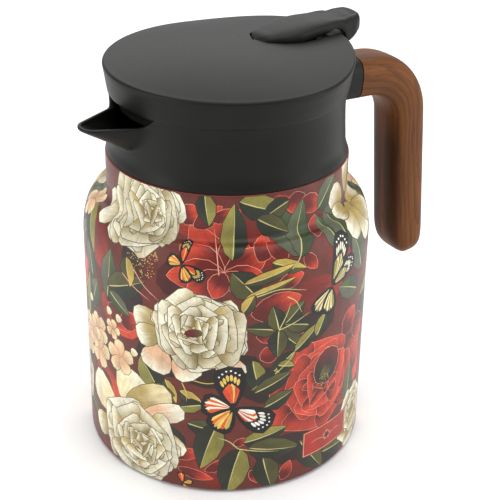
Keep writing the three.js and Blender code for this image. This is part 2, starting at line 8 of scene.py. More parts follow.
import bmesh
import bpy
import numpy as np
from mathutils import Matrix, Vector
from mathutils.geometry import delaunay_2d_cdt


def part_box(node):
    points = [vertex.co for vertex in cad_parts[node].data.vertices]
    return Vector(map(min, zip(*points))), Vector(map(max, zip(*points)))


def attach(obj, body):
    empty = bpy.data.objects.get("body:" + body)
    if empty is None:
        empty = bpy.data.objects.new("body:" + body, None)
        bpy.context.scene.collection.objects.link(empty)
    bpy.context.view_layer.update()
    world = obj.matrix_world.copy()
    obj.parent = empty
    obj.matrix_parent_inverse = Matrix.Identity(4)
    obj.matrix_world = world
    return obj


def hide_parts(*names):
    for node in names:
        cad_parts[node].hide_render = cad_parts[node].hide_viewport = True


MM = 0.001
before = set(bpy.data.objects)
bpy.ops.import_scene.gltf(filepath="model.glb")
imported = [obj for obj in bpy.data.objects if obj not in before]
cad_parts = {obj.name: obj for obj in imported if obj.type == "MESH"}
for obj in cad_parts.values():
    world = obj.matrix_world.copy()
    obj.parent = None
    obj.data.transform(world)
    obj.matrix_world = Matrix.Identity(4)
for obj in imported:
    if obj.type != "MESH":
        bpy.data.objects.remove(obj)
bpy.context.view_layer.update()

# ---------------------------------------------------------------- sizes read from the CAD pieces
SHELL_LOW, SHELL_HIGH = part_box("outer_shell")
COLLAR_LOW, COLLAR_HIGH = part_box("collar")
LID_LOW, LID_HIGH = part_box("lid_cover")
LEVER_LOW, LEVER_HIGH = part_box("thumb_lever")
WOOD_LOW, WOOD_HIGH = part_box("wood_handle")
FERRULE_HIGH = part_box("handle_ferrule")[1]
PIN_LOW, PIN_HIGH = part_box("lever_pin")

GAP = 0.3 * MM  # clearance between neighbouring pieces

BODY_R = SHELL_HIGH.y
SHELL_WALL = 0.8 * MM
SHELL_FOOT = SHELL_LOW.z
FOOT_ROUND = 2 * MM
SHOULDER_Z = 99.7 * MM
SHOULDER_RISE = 17.7 * MM
SHOULDER_IN = 7 * MM
NECK_FILLET = 3.6 * MM
NECK_R = BODY_R - SHOULDER_IN - NECK_FILLET
NECK_EDGE = 0.9 * MM  # rounding of the neck's top edge
NECK_TOP = COLLAR_LOW.z - GAP
MOUTH_R = 42.5 * MM
MOUTH_TOP = SHELL_HIGH.z

COLLAR_BORE = 47 * MM
SHELF_TOP = 148.6 * MM
SHELF_R = MOUTH_R + 0.4 * MM
COLLAR_TOP = COLLAR_HIGH.z
SPOUT_TIP = -COLLAR_LOW.x
SPOUT_RIM = 159.4 * MM
SPOUT_WALL = 1.9 * MM

LID_RIM_R = LID_HIGH.y
LID_SKIRT_R = 50.1 * MM
LID_RIM_Z = 175.5 * MM
LID_SHIFT = 0.75 * MM  # the rim's centre stands this far towards the handle
LID_CROWN = 6.4 * MM
LID_SWEEP = 5.8 * MM  # extra rise of the rim under the thumb lever
LID_SWEEP_ENDS = math.radians(80)  # azimuth where that rise begins
LID_WALL = 2.2 * MM
LID_BOTTOM = LID_LOW.z

PIVOT_X = (PIN_LOW.x + PIN_HIGH.x) / 2
PIVOT_Z = (PIN_LOW.z + PIN_HIGH.z) / 2
LEVER_FRONT = 12.8 * MM
LEVER_BACK = LEVER_HIGH.x - 0.8 * MM
POCKET_FLOOR = 177.2 * MM
POCKET_GAP = 1 * MM
POCKET_BACK = 57 * MM  # past the rim, so the pocket is open at the back

ARM_X = 50 * MM  # a point of the handle arm's centre line
ARM_Z = 156.9 * MM
ARM_DROOP = math.radians(2.5)
GRIP_LEAN = math.radians(4.75)
GRIP_X, GRIP_Z = 98 * MM, 105 * MM  # a point of the grip's centre line
BEND_R = 23.6 * MM
HANDLE_DEPTH = 9.62 * MM
HANDLE_WIDTH = WOOD_HIGH.y
HANDLE_END_Z = WOOD_LOW.z


# ---------------------------------------------------------------- mesh helpers

def smoothstep(x, low=0.0, high=1.0):
    """0 below low, 1 above high and a soft change between."""
    t = np.clip((np.asarray(x, float) - low) / (high - low), 0, 1)
    return t * t * (3 - 2 * t)


def signed_power(value, power):
    """A power that keeps the sign."""
    return math.copysign(abs(value) ** power, value)


def arc(centre_r, centre_z, radius_r, radius_z, start, end, steps):
    """Points of an elliptical arc in a profile, angles in degrees."""
    angles = np.radians(np.linspace(start, end, steps + 1))
    return [(centre_r + radius_r * math.cos(a), centre_z + radius_z * math.sin(a)) for a in angles]


def curve_through(knots, scale=1.0):
    """A smooth function through a few (x, y) points."""
    xs, ys = (np.array(column, float) * scale for column in zip(*knots))
    slopes = np.gradient(ys, xs)

    def at(x):
        i = int(np.clip(np.searchsorted(xs, x) - 1, 0, len(xs) - 2))
        span = xs[i + 1] - xs[i]
        t = min(max((x - xs[i]) / span, 0), 1)
        rise = ys[i + 1] - ys[i]
        start = slopes[i] * span
        end = slopes[i + 1] * span
        return ys[i] + start * t + (3 * rise - 2 * start - end) * t**2 + (start + end - 2 * rise) * t**3

    return at


def make_object(name, points, faces, material, sharp=38):
    """A clean mesh object with merged vertices, outward faces and edges sharper than the angle kept crisp."""
    mesh = bpy.data.meshes.new(name)
    mesh.from_pydata([tuple(p) for p in points], [], faces)
    grown = bmesh.new()
    grown.from_mesh(mesh)
    bmesh.ops.remove_doubles(grown, verts=grown.verts, dist=1e-7)
    bmesh.ops.recalc_face_normals(grown, faces=grown.faces)
    grown.to_mesh(mesh)
    grown.free()
    mesh.polygons.foreach_set("use_smooth", [True] * len(mesh.polygons))
    mesh.set_sharp_from_angle(angle=math.radians(sharp))
    mesh.materials.append(material)
    made = bpy.data.objects.new(name, mesh)
    bpy.context.scene.collection.objects.link(made)
    return made


def skin(rows, loop=False):
    """Quads between closed rings of points. loop joins the last ring to the first."""
    count = len(rows[0])
    faces = []
    for row in range(len(rows) if loop else len(rows) - 1):
        low = row * count
        high = (row + 1) % len(rows) * count
        for i in range(count):
            j = (i + 1) % count
            faces.append((low + i, low + j, high + j, high + i))
    return [p for row in rows for p in row], faces


def capped(rows):
    """The same with a fan to a middle point at each end."""
    points, faces = skin(rows)
    count = len(rows[0])
    for first, row in ((0, rows[0]), (len(points) - count, rows[-1])):
        middle = len(points)
        points.append(tuple(np.mean(row, axis=0)))
        faces += [(middle, first + i, first + (i + 1) % count) for i in range(count)]
    return points, faces


def lathe(name, profile, material, sides=96, sharp=38):
    """Turns a closed loop, or a profile that ends on the axis, round the Z axis."""
    turns = [2 * math.pi * i / sides for i in range(sides)]
    rows = [[(r * math.cos(a), r * math.sin(a), z) for a in turns] for r, z in profile]
    closes = profile[0][0] > 0 or profile[-1][0] > 0
    return make_object(name, *skin(rows, loop=closes), material, sharp)


def block(name, low, high, material):
    """A box between two corners."""
    corners = [(x, y, z) for z in (low[2], high[2]) for y in (low[1], high[1]) for x in (low[0], high[0])]
    faces = [(0, 2, 3, 1), (4, 5, 7, 6), (0, 1, 5, 4), (2, 6, 7, 3), (0, 4, 6, 2), (1, 3, 7, 5)]
    return make_object(name, corners, faces, material)


def bar(name, radius, start, end, material, sides=48):
    """A straight round bar between two points."""
    along = Vector(end) - Vector(start)
    turn = along.to_track_quat("Z", "Y")
    rows = []
    for middle in (Vector(start), Vector(end)):
        ring = [Vector((radius * math.cos(a), radius * math.sin(a), 0)) for a in
                (2 * math.pi * i / sides for i in range(sides))]
        rows.append([tuple(middle + turn @ p) for p in ring])
    return make_object(name, *capped(rows), material)


def combine(target, tool, how, sharp=38):
    """Joins the tool to the target or cuts it away, and removes the tool."""
    step = target.modifiers.new("combine", "BOOLEAN")
    step.operation = how
    step.solver = "EXACT"
    step.object = tool
    bpy.context.view_layer.update()
    evaluated = target.evaluated_get(bpy.context.evaluated_depsgraph_get())
    mesh = bpy.data.meshes.new_from_object(evaluated)
    mesh.set_sharp_from_angle(angle=math.radians(sharp))
    target.modifiers.remove(step)
    target.data = mesh
    bpy.data.objects.remove(tool)
    return target


def belongs(made, body, slot, *nodes):
    """The piece rides on a CAD body and stands for CAD nodes. The slot argument is not used."""
    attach(made, body)
    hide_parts(*nodes)
    return made


# ---------------------------------------------------------------- material helpers

def colour(red, green, blue):
    """A screen colour of 0 to 255 as the renderer's linear colour."""
    def linear(value):
        share = value / 255
        return share / 12.92 if value < 11 else ((share + 0.055) / 1.055) ** 2.4

    return tuple(linear(value) for value in (red, green, blue))


class Finish:
    """A material under construction: one Principled shader and the nodes that feed it."""

    def __init__(self, name, **settings):
        self.material = bpy.data.materials.new(name)
        self.material.use_nodes = True
        self.tree = self.material.node_tree
        self.shader = self.tree.nodes["Principled BSDF"]
        self.set(**settings)

    def feed(self, socket, value):
        """Links a node's output to a socket, or sets the socket to a number or colour."""
        if isinstance(value, bpy.types.NodeSocket):
            self.tree.links.new(value, socket)
        elif isinstance(value, tuple) and socket.type == "RGBA":
            socket.default_value = (*value, 1)
        else:
            socket.default_value = value

    def node(self, kind, inputs, output=0, **settings):
        """One of a new node's outputs. inputs are fed by socket name or number."""
        made = self.tree.nodes.new("ShaderNode" + kind)
        for key, value in settings.items():
            setattr(made, key, value)
        for key, value in inputs.items():
            self.feed(made.inputs[key], value)
        return made.outputs[output]

    def math(self, operation, first, second=0.0):
        return self.node("Math", {0: first, 1: second}, operation=operation)

    def plus(self, first, second):
        return self.math("ADD", first, second)

    def minus(self, first, second):
        return self.math("SUBTRACT", first, second)

    def times(self, first, second):
        return self.math("MULTIPLY", first, second)

    def over(self, first, second):
        return self.math("DIVIDE", first, second)

    def absolute(self, value):
        return self.math("ABSOLUTE", value)

    def fraction(self, value):
        return self.math("FRACT", value)

    def distance(self, first, second):
        """How far a place is from the origin of two coordinates."""
        return self.math("SQRT", self.plus(self.times(first, first), self.times(second, second)))

    def attribute(self, name, output):
        return self.node("Attribute", {}, output, attribute_name=name)

    def noise(self, vector, scale, detail=3.0, roughness=0.5):
        settings = {"Vector": vector, "Scale": scale, "Detail": detail, "Roughness": roughness}
        return self.node("TexNoise", settings)

    def position(self):
        return self.node("TexCoord", {}, "Object")

    def split(self, vector):
        made = self.tree.nodes.new("ShaderNodeSeparateXYZ")
        self.feed(made.inputs[0], vector)
        return made.outputs

    def join(self, x, y, z):
        return self.node("CombineXYZ", {0: x, 1: y, 2: z})

    def remap(self, value, low, high, to_low=0.0, to_high=1.0):
        return self.node("MapRange", {0: value, 1: low, 2: high, 3: to_low, 4: to_high},
                         interpolation_type="SMOOTHSTEP")

    def mix(self, share, first, second):
        """A colour between two others."""
        return self.node("Mix", {0: share, 6: first, 7: second}, 2, data_type="RGBA")

    def shade(self, tint, factor):
        """The tint made lighter or darker by a factor."""
        return self.node("VectorMath", {0: tint, 3: factor}, operation="SCALE")

    def bump(self, height, strength, distance):
        made = self.node("Bump", {"Strength": strength, "Distance": distance, "Height": height})
        self.feed(self.shader.inputs["Normal"], made)

    def set(self, **settings):
        """Feeds the shader's own sockets, named with underscores."""
        for key, value in settings.items():
            self.feed(self.shader.inputs[key.replace("_", " ")], value)


def black_plastic():
    """Matt moulded plastic with a fine grain."""
    finish = Finish("black_plastic", Specular_IOR_Level=0.2)
    where = finish.position()
    grain = finish.noise(where, 2600, 2)
    cloud = finish.noise(where, 60, 3)
    tone = finish.remap(cloud, 0.3, 0.7, 0.85, 1.15)
    finish.set(
        Base_Color=finish.shade(colour(15, 15, 12), tone),
        Roughness=finish.remap(grain, 0.25, 0.75, 0.4, 0.5),
    )
    finish.bump(grain, 0.25, 0.03 * MM)
    return finish.material


def steel(name, tint):
    """Brushed steel, with fine lines round the axis."""
    finish = Finish(name, Metallic=1.0)
    where = finish.position()
    height = finish.split(where)[2]
    lines = finish.noise(finish.join(height, 0.0, 0.0), 3500, 4, 0.7)
    cloud = finish.noise(where, 45, 2)
    finish.set(
        Base_Color=finish.shade(tint, finish.remap(lines, 0.25, 0.75, 0.82, 1.1)),
        Roughness=finish.remap(cloud, 0.3, 0.7, 0.24, 0.36),
    )
    finish.bump(lines, 0.12, 0.01 * MM)
    return finish.material


def soft_plastic(name, tint, roughness):
    """Silicone or rubber: even colour, fine grain and a dull surface."""
    finish = Finish(name, Specular_IOR_Level=0.35)
    where = finish.position()
    grain = finish.noise(where, 1800, 2)
    dust = finish.noise(where, 90, 4)
    finish.set(
        Base_Color=finish.shade(tint, finish.remap(dust, 0.3, 0.7, 0.9, 1.08)),
        Roughness=finish.remap(grain, 0.2, 0.8, roughness - 0.08, roughness + 0.08),
    )
    finish.bump(grain, 0.3, 0.03 * MM)
    return finish.material


def walnut():
    """Oiled walnut, with painted shade in a dark band along the grip's inner corners. The grain attribute
    holds the place along, out from and across the handle.
    """
    ring_width = 2.5 * MM
    ring_centre = 5.5 * MM  # the growth rings close round a line this far out
    core_shade_low, core_shade_high = 38 * MM, 60 * MM  # where the painted band of shade begins along the handle
    finish = Finish("walnut", Specular_IOR_Level=0.16)
    along, out, across = finish.split(finish.attribute("grain", "Vector"))

    def stretched(lengthwise, crosswise, detail, roughness=0.55):
        """Noise drawn out along the grain, with its scales in turns per metre."""
        place = finish.join(finish.times(along, lengthwise), finish.times(out, crosswise),
                            finish.times(across, crosswise))
        return finish.noise(place, 1.0, detail, roughness)

    slow = stretched(12.0, 55.0, 3)
    fibres = stretched(45.0, 1100.0, 4, 0.65)
    pores = stretched(170.0, 2400.0, 2)
    beside = finish.absolute(across)
    ring_out = finish.minus(out, ring_centre)
    ring_deep = finish.minus(finish.times(finish.minus(along, 45 * MM), 0.11),
                             finish.times(finish.minus(beside, 9 * MM), 0.8))
    ring = finish.over(finish.distance(ring_out, ring_deep), ring_width)
    ring = finish.fraction(finish.plus(ring, finish.times(slow, 3.2)))
    late_wood = finish.times(finish.remap(ring, 0.45, 0.93), finish.remap(ring, 1.0, 0.95))
    # Painted shade, not heartwood: a dark band near the rounded corners of the grip's inner face, where shade
    # falls.
    heart = finish.distance(finish.plus(out, HANDLE_DEPTH), finish.minus(beside, HANDLE_WIDTH - 5 * MM))
    heart = finish.plus(heart, finish.times(finish.minus(slow, 0.5), 7 * MM))
    heart = finish.times(finish.remap(heart, 7.5 * MM, 2.5 * MM), finish.remap(along, core_shade_low, core_shade_high))
    tone = finish.plus(finish.times(fibres, 0.7), finish.times(slow, 0.5))
    body = finish.mix(finish.remap(tone, 0.35, 0.9), colour(84, 47, 18), colour(126, 76, 34))
    body = finish.mix(finish.times(late_wood, 0.45), body, colour(66, 38, 20))
    # the painted shade darkens that band
    body = finish.mix(finish.times(heart, 0.8), body, colour(46, 27, 15))
    finish.set(
        Base_Color=finish.shade(body, finish.remap(pores, 0.3, 0.42, 0.62, 1.0)),
        Roughness=finish.remap(fibres, 0.3, 0.7, 0.42, 0.54),
    )
    finish.bump(finish.plus(fibres, finish.times(pores, 0.6)), 0.2, 0.05 * MM)
    return finish.material


def printed_shell():
    """Satin lacquer over a painted picture. Its colours and the place in each petal are mesh attributes."""
    finish = Finish("printed_shell", Specular_IOR_Level=0.3, Coat_Weight=0.15, Coat_Roughness=0.35)
    across, along, seed = finish.split(finish.attribute("petal", "Vector"))
    streaks, side, veins = finish.split(finish.attribute("style", "Vector"))
    where = finish.position()

    wobble = finish.noise(finish.join(across, along, finish.times(seed, 9.0)), 1.7, 3)
    share = finish.plus(along, finish.times(finish.minus(wobble, 0.5), 0.6))
    share = finish.remap(share, 0.32, 1.0)
    tint = finish.mix(share, finish.attribute("base_tone", "Color"), finish.attribute("tip_tone", "Color"))

    fan = finish.over(across, finish.plus(finish.absolute(along), 0.3))
    place = finish.join(finish.times(fan, 5.0), finish.times(along, 0.9), finish.times(seed, 5.0))
    lines = finish.times(finish.remap(finish.noise(place, 1.5, 3, 0.6), 0.5, 0.66), streaks)
    rib = finish.minus(finish.times(along, 9.0), finish.times(finish.absolute(across), 2.6))
    rib = finish.absolute(finish.minus(finish.fraction(rib), 0.5))
    rib = finish.times(finish.remap(rib, 0.12, 0.0), veins)
    light = finish.plus(1.0, finish.times(side, across))
    light = finish.plus(finish.minus(light, lines), rib)
    cloud = finish.remap(finish.noise(where, 150, 4, 0.6), 0.25, 0.75, 0.82, 1.16)
    brush = finish.remap(finish.noise(where, 1100, 3, 0.7), 0.3, 0.7, 0.93, 1.07)
    light = finish.times(light, finish.times(cloud, brush))

    peel = finish.noise(where, 900, 2)
    finish.set(
        Base_Color=finish.shade(tint, light),
        Roughness=finish.remap(peel, 0.3, 0.7, 0.36, 0.46),
    )
    finish.bump(peel, 0.12, 0.02 * MM)
    return finish.material


# ---------------------------------------------------------------- picture on the shell

PRINT_LOW = 1.0  # millimetres along the profile, clear of the foot's and the neck's edges
SHELL_COLUMNS = 72
PER_DEGREE = math.radians(BODY_R / MM)  # millimetres of print for a degree round the jug
SEAM = -310.0  # azimuth of the print's seam, behind the handle
ROUND_WIDTH = 360 * PER_DEGREE

CREAM = colour(232, 227, 203)
CREAM_WARM = colour(224, 208, 164)
CREAM_SHADE = colour(166, 144, 84)
PEACH = colour(214, 170, 132)
INK = colour(78, 68, 42)
SHADOW = colour(40, 26, 20)
RED = colour(206, 66, 42)
RED_MIDDLE = colour(158, 44, 30)
RED_DEEP = colour(98, 24, 18)
PINK_LINE = colour(222, 150, 126)
LEAF_DARK = colour(46, 52, 36)
LEAF_GREY = colour(92, 98, 74)
OLIVE = colour(146, 138, 66)
OLIVE_DARK = colour(84, 82, 42)
GOLD = colour(198, 168, 82)
RIB = colour(190, 180, 118)
GROUND = colour(96, 38, 28)
GROUND_DARK = colour(46, 30, 24)
BLACK = colour(22, 20, 20)
WHITE = colour(236, 232, 222)
ORANGE = colour(214, 88, 34)
YELLOW = colour(226, 190, 96)
GREEN = colour(70, 88, 50)

RED_ROSE = {"base": RED_DEEP, "tip": RED, "line": PINK_LINE, "edge": 0.16}
LEAF_TONES = ((OLIVE, LEAF_DARK), (LEAF_GREY, GREEN), (OLIVE_DARK, LEAF_DARK), (GOLD, OLIVE_DARK))

# Petal outlines: how the width grows from the base and falls to the tip.
ROUNDED = (0.62, 0.34)
OPEN = (0.45, 0.42)
BLUNT = (0.55, 0.26)
POINTED = (0.75, 0.85)
LEAFY = (0.7, 0.95)


def darker(tone, share):
    return tuple(share * c for c in tone)


class Picture:
    """Flat shapes on the unrolled shell, later ones on top.

    Places are (azimuth in degrees, millimetres up the profile) and sizes are millimetres. The picture
    repeats at the far side of the jug.
    """

    def __init__(self, seed):
        self.shapes = []
        self.random = random.Random(seed)

    def add(self, outline, at, aim, length, half, tones, style=(0, 0, 0), bend=0.0, once=False):
        turn = math.radians(aim)
        way = np.array([math.cos(turn), math.sin(turn)])
        side = np.array([-way[1], way[0]])
        origin = np.array([at[0] * PER_DEGREE, at[1]])
        points = origin + np.outer([p[0] for p in outline], way) + np.outer([p[1] for p in outline], side)
        self.shapes.append({
            "points": points, "origin": origin, "way": way, "side": side, "length": length, "half": half,
            "bend": bend, "tones": tones, "style": style, "once": once, "seed": self.random.random(),
        })

    def petal(self, at, aim, length, width, tones, shape=ROUNDED, bend=0.0, grow=0.0, streaks=0.0, veins=0.0,
              steps=6, ripple=0.0, half_only=0):
        """One petal or leaf from its base. half_only draws just its left (1) or right (-1) half."""
        steps = min(steps, 3 + int(length / 3))
        full = length + 2 * grow
        half = width / 2 + grow
        rise, fall = shape
        peak = rise / (rise + fall)
        left, right = [], []
        for k in range(steps + 1):
            v = (1 - math.cos(math.pi * k / steps)) / 2
            share = (v / peak) ** rise * ((1 - v) / (1 - peak)) ** fall
            along = v * full - grow + ripple * length * math.sin(9 * v + 2) * v * (1 - v)
            middle = bend * length * v * v
            left.append((along, middle + half * share * (half_only >= 0)))
            right.append((along, middle - half * share * (half_only <= 0)))
        outline = left + right[-2:0:-1]
        lit = 0.16 * math.cos(math.radians(aim + 90 - 125))
        self.add(outline, at, aim, length, half, tones, (streaks, lit, veins), bend)

    def stroke(self, at, path, width, tone):
        """A thin tapering line through points given as millimetres from a place."""
        xs, ys = zip(*path)
        steps = np.linspace(0, len(path) - 1, 3 * len(path))
        if len(path) > 2:
            fit = [curve_through(list(enumerate(values))) for values in (xs, ys)]
            spine = np.array([[fit[0](s), fit[1](s)] for s in steps])
        else:
            spine = np.array([[np.interp(s, [0, 1], xs), np.interp(s, [0, 1], ys)] for s in (0, 1)])
        way = np.gradient(spine, axis=0)
        side = np.stack([-way[:, 1], way[:, 0]], 1) / np.maximum(np.linalg.norm(way, axis=1), 1e-6)[:, None]
        taper = np.interp(np.linspace(0, 1, len(spine)), [0, 0.7, 1], [1, 0.8, 0.15])[:, None] * width / 2
        outline = [*(spine + side * taper), *(spine - side * taper)[::-1]]
        self.add(outline, at, 0, 10, 10, (tone, tone))

    def bloom_petal(self, at, aim, length, width, base, tip, line=INK, edge=0.32, **settings):
        """A petal on its own dark outline."""
        self.petal(at, aim, length, width, (line, line), grow=edge, **settings)
        self.petal(at, aim, length, width, (base, tip), streaks=settings.pop("streaks", 0.18), **settings)

    def leaf(self, at, aim, length, width, light, dark):
        """A two-toned leaf with a pale middle rib."""
        common = {"bend": 0.08, "steps": 5}
        half = {"shape": LEAFY, "streaks": 0.1, **common}
        self.petal(at, aim, length, width, (SHADOW, SHADOW), shape=LEAFY, grow=0.4, **common)
        self.petal(at, aim, length, width, (darker(light, 0.72), light), half_only=1, veins=0.12, **half)
        self.petal(at, aim, length, width, (darker(dark, 0.55), dark), half_only=-1, veins=0.18, **half)
        self.petal(at, aim, length * 1.02, 0.55, (RIB, RIB), shape=(0.15, 0.9), **common)

    def rose(self, at, radius, turn, rings, squash=0.8, heart=(0.0, 0.12), base=CREAM_SHADE, tip=CREAM,
             line=INK, shape=BLUNT, edge=0.3, jitter=12.0):
        """Rings of petals round a heart. Each ring is (petals, outer share, petal length share)."""
        chance = self.random
        for count, share, reach in rings:
            inward = 1 - share
            loose = 0.05 * radius
            centre = (at[0] + (heart[0] * radius * inward + chance.uniform(-loose, loose)) / PER_DEGREE,
                      at[1] + heart[1] * radius * inward + chance.uniform(-loose, loose))
            start = chance.uniform(0, 360 / count)
            for k in range(count):
                aim = turn + start + 360 * k / count + chance.uniform(-jitter, jitter)
                way = (math.cos(math.radians(aim)), math.sin(math.radians(aim)) * squash)
                length = radius * reach * chance.uniform(0.85, 1.15)
                foot = radius * share - radius * reach
                place = (centre[0] + way[0] * foot / PER_DEGREE, centre[1] + way[1] * foot)
                aim_here = math.degrees(math.atan2(way[1], way[0]))
                width = 2 * math.pi * radius * max(share, 0.2) / count * chance.uniform(1.25, 1.6)
                shade = chance.uniform(0.88, 1.03)
                foot_shade = chance.uniform(0.6, 1.05)
                warmth = chance.choice((0, 0, 0.5))
                self.bloom_petal(place, aim_here, length, width, tuple(c * foot_shade for c in base),
                                 tuple((t + (b - t) * warmth * 0.6) * shade for b, t in zip(base, tip)),
                                 line, edge, shape=shape, steps=7,
                                 bend=chance.uniform(-0.2, 0.2), ripple=chance.uniform(-0.09, 0.09))

    def blossom(self, at, turn, length, width):
        """A small flower of five petals."""
        for k in range(5):
            self.bloom_petal(at, turn + 72 * k, length, width, PEACH, CREAM_WARM, edge=0.25, steps=5)

    def dots(self, at, radius, count, size, tone):
        """A seeded scatter of small lozenges."""
        for _ in range(count):
            away = radius * math.sqrt(self.random.random())
            angle = self.random.uniform(0, 2 * math.pi)
            place = (at[0] + away * math.cos(angle) / PER_DEGREE, at[1] + away * math.sin(angle))
            s = size * self.random.uniform(0.6, 1.2)
            lozenge = [(-s, 0), (0, -s * 0.7), (s, 0), (0, s * 0.7)]
            self.add(lozenge, place, self.random.uniform(0, 90), 1, 1, (tone, tone))

    def wing(self, at, aim, length, width, stripes, tip_cells=None):
        """A butterfly's wing: a dark outline with coloured stripes between the veins.

        A wing with tip cells ends in a dark border with pale cells and dots.
        """
        count = 6
        root = 0.12 * length  # the stripes begin this far from the body
        stripe = width / count
        spread = 2 * math.degrees(math.atan(0.4 * width / length))
        self.petal(at, aim, length, width, (BLACK, BLACK), shape=(0.75, 0.3))
        for k in range(count):
            lean = aim + (k / (count - 1) - 0.5) * spread
            way = np.array([math.cos(math.radians(lean)) / PER_DEGREE, math.sin(math.radians(lean))])
            reach = length * ((0.62 if tip_cells else 0.92) - 0.12 * abs(2 * k / (count - 1) - 1))
            tone = stripes[k % len(stripes)]
            self.petal(np.array(at) + way * root, lean, reach - root, 1.05 * stripe, (tone, tone),
                       shape=(0.8, 0.25), steps=4)
            if tip_cells:
                cell = np.array(at) + way * (reach + 0.04 * length)
                self.petal(cell, lean, 0.17 * length, 0.6 * stripe, (tip_cells, tip_cells), shape=(0.5, 0.4),
                           steps=3)
                dot = np.array(at) + way * (reach + 0.29 * length)
                s = 0.025 * length
                self.add([(-s, 0), (0, -s), (s, 0), (0, s)], dot, 45, 1, 1, (WHITE, WHITE))

    def butterfly(self, at, wings, body_aim, size):
        """A butterfly with a body of two petals. Each wing is (aim, length, width, stripes, tip cells)."""
        for wing in wings:
            self.wing(at, *wing)
        self.petal(at, body_aim, size, size * 0.22, (BLACK, SHADOW), shape=(0.5, 0.5), steps=5)
        self.petal(at, body_aim + 180, size * 0.7, size * 0.2, (BLACK, SHADOW), shape=(0.5, 0.6), steps=5)


def backdrop(picture):
    """Large soft petals and dark gaps behind the flowers."""
    for azimuth, height, aim, length, width, tone in (
        (-150, 101, 20, 34, 20, RED_DEEP), (-118, 126, -20, 26, 24, RED_MIDDLE),
        (-104, 118, 60, 24, 22, RED_MIDDLE), (-180, 84, -30, 26, 16, RED), (-186, 48, -40, 22, 14, RED),
        (-148, 14, 0, 24, 12, RED_MIDDLE), (-100, 12, 20, 26, 20, RED_MIDDLE),
        (-80, 120, -60, 22, 14, RED_MIDDLE), (-62, 60, -80, 26, 16, RED),
        (-96, 98, -20, 26, 14, RED_MIDDLE), (-92, 62, 60, 18, 12, RED_DEEP), (-146, 128, 10, 22, 14, RED),
        (-190, 118, -60, 26, 16, RED_MIDDLE), (-206, 100, 80, 26, 14, RED_DEEP),
        (-44, 84, -80, 30, 18, RED_DEEP), (-205, 30, 60, 24, 16, RED_DEEP),
        (-48, 30, 70, 26, 16, RED_MIDDLE), (-128, 3, 60, 16, 14, RED_MIDDLE),
    ):
        picture.petal((azimuth, height), aim, length, width, (darker(tone, 0.5), tone),
                      shape=OPEN, streaks=0.2, bend=0.1)
    for azimuth, height, aim, length, width in (
        (-160, 66, 0, 26, 18), (-140, 60, 10, 34, 16), (-120, 60, -20, 30, 18), (-112, 20, 0, 30, 16),
        (-100, 76, 10, 26, 14), (-156, 92, 200, 24, 16), (-84, 6, 10, 24, 12), (-60, 96, 90, 30, 18),
        (-198, 70, 80, 30, 14), (-52, 60, 80, 26, 12),
    ):
        picture.petal((azimuth, height), aim, length, width, (GROUND_DARK, SHADOW), shape=OPEN)


def red_flowers(picture):
    """An open red flower, loose red petals, a red rose and a gold-speckled heart."""
    for aim, length, width in (
        (95, 27, 17), (128, 26, 15), (62, 19, 14), (150, 22, 12), (20, 20, 12), (185, 24, 13), (-12, 17, 9),
        (215, 20, 12), (-40, 14, 9), (245, 12, 9),
    ):
        picture.bloom_petal((-124, 109), aim, length, width, RED_DEEP, RED, PINK_LINE, 0.22,
                            shape=POINTED, bend=0.06, streaks=0.3)
    for azimuth, height, aim, length, width, tip in (
        (-145, 131, 20, 12, 9, RED), (-138, 128, 30, 17, 8, RED), (-131, 132, 10, 16, 6, RED),
        (-111, 113, 60, 13, 9, RED), (-100, 112, 120, 12, 8, RED_MIDDLE), (-114, 90, 8, 22, 13, RED),
        (-104, 102, 10, 12, 7, RED), (-112, 84, -40, 14, 9, RED), (-92, 141, -80, 10, 12, RED),
        (-88, 137, -30, 14, 9, RED), (-84, 118, 60, 11, 6, RED), (-92, 113, -60, 9, 6, RED),
        (-96, 76, -40, 9, 7, RED), (-106, 66, 100, 8, 8, RED_MIDDLE), (-175, 82, -40, 16, 10, RED),
        (-168, 76, 20, 12, 9, RED), (-182, 46, -60, 15, 9, RED), (-145, 18, 10, 15, 6, RED),
        (-142, 12, -20, 16, 5, RED), (-131, 12, 25, 14, 5, RED), (-120, 26, 20, 7, 4, RED),
        (-113, 12, -60, 9, 5, RED), (-100, 4, 60, 10, 6, RED), (-72, 8, 20, 9, 5, RED),
        (-70, 66, 40, 14, 12, RED), (-60, 70, -60, 16, 12, RED), (-66, 42, 40, 20, 14, RED),
    ):
        picture.bloom_petal((azimuth, height), aim, length, width, RED_DEEP, tip, PINK_LINE, 0.18,
                            shape=POINTED, bend=0.1, streaks=0.25)
    rings = ((7, 1.0, 0.66), (7, 0.8, 0.58), (5, 0.58, 0.46), (4, 0.36, 0.32), (3, 0.18, 0.2))
    picture.rose((-84, 47), 22, 10, rings, squash=0.9, heart=(0.2, 0.1), **RED_ROSE)
    picture.bloom_petal((-82, 47), 72, 18, 15, GROUND_DARK, RED_DEEP, PINK_LINE, 0.22, shape=OPEN)
    picture.petal((-82, 49), 60, 9, 6, (OLIVE_DARK, GROUND_DARK), shape=OPEN)
    picture.dots((-81, 48), 4, 26, 0.35, GOLD)
    picture.petal((-167, 109), 0, 19, 18, (GROUND_DARK, RED_DEEP), shape=OPEN)
    picture.dots((-157, 109), 8, 150, 0.32, GOLD)


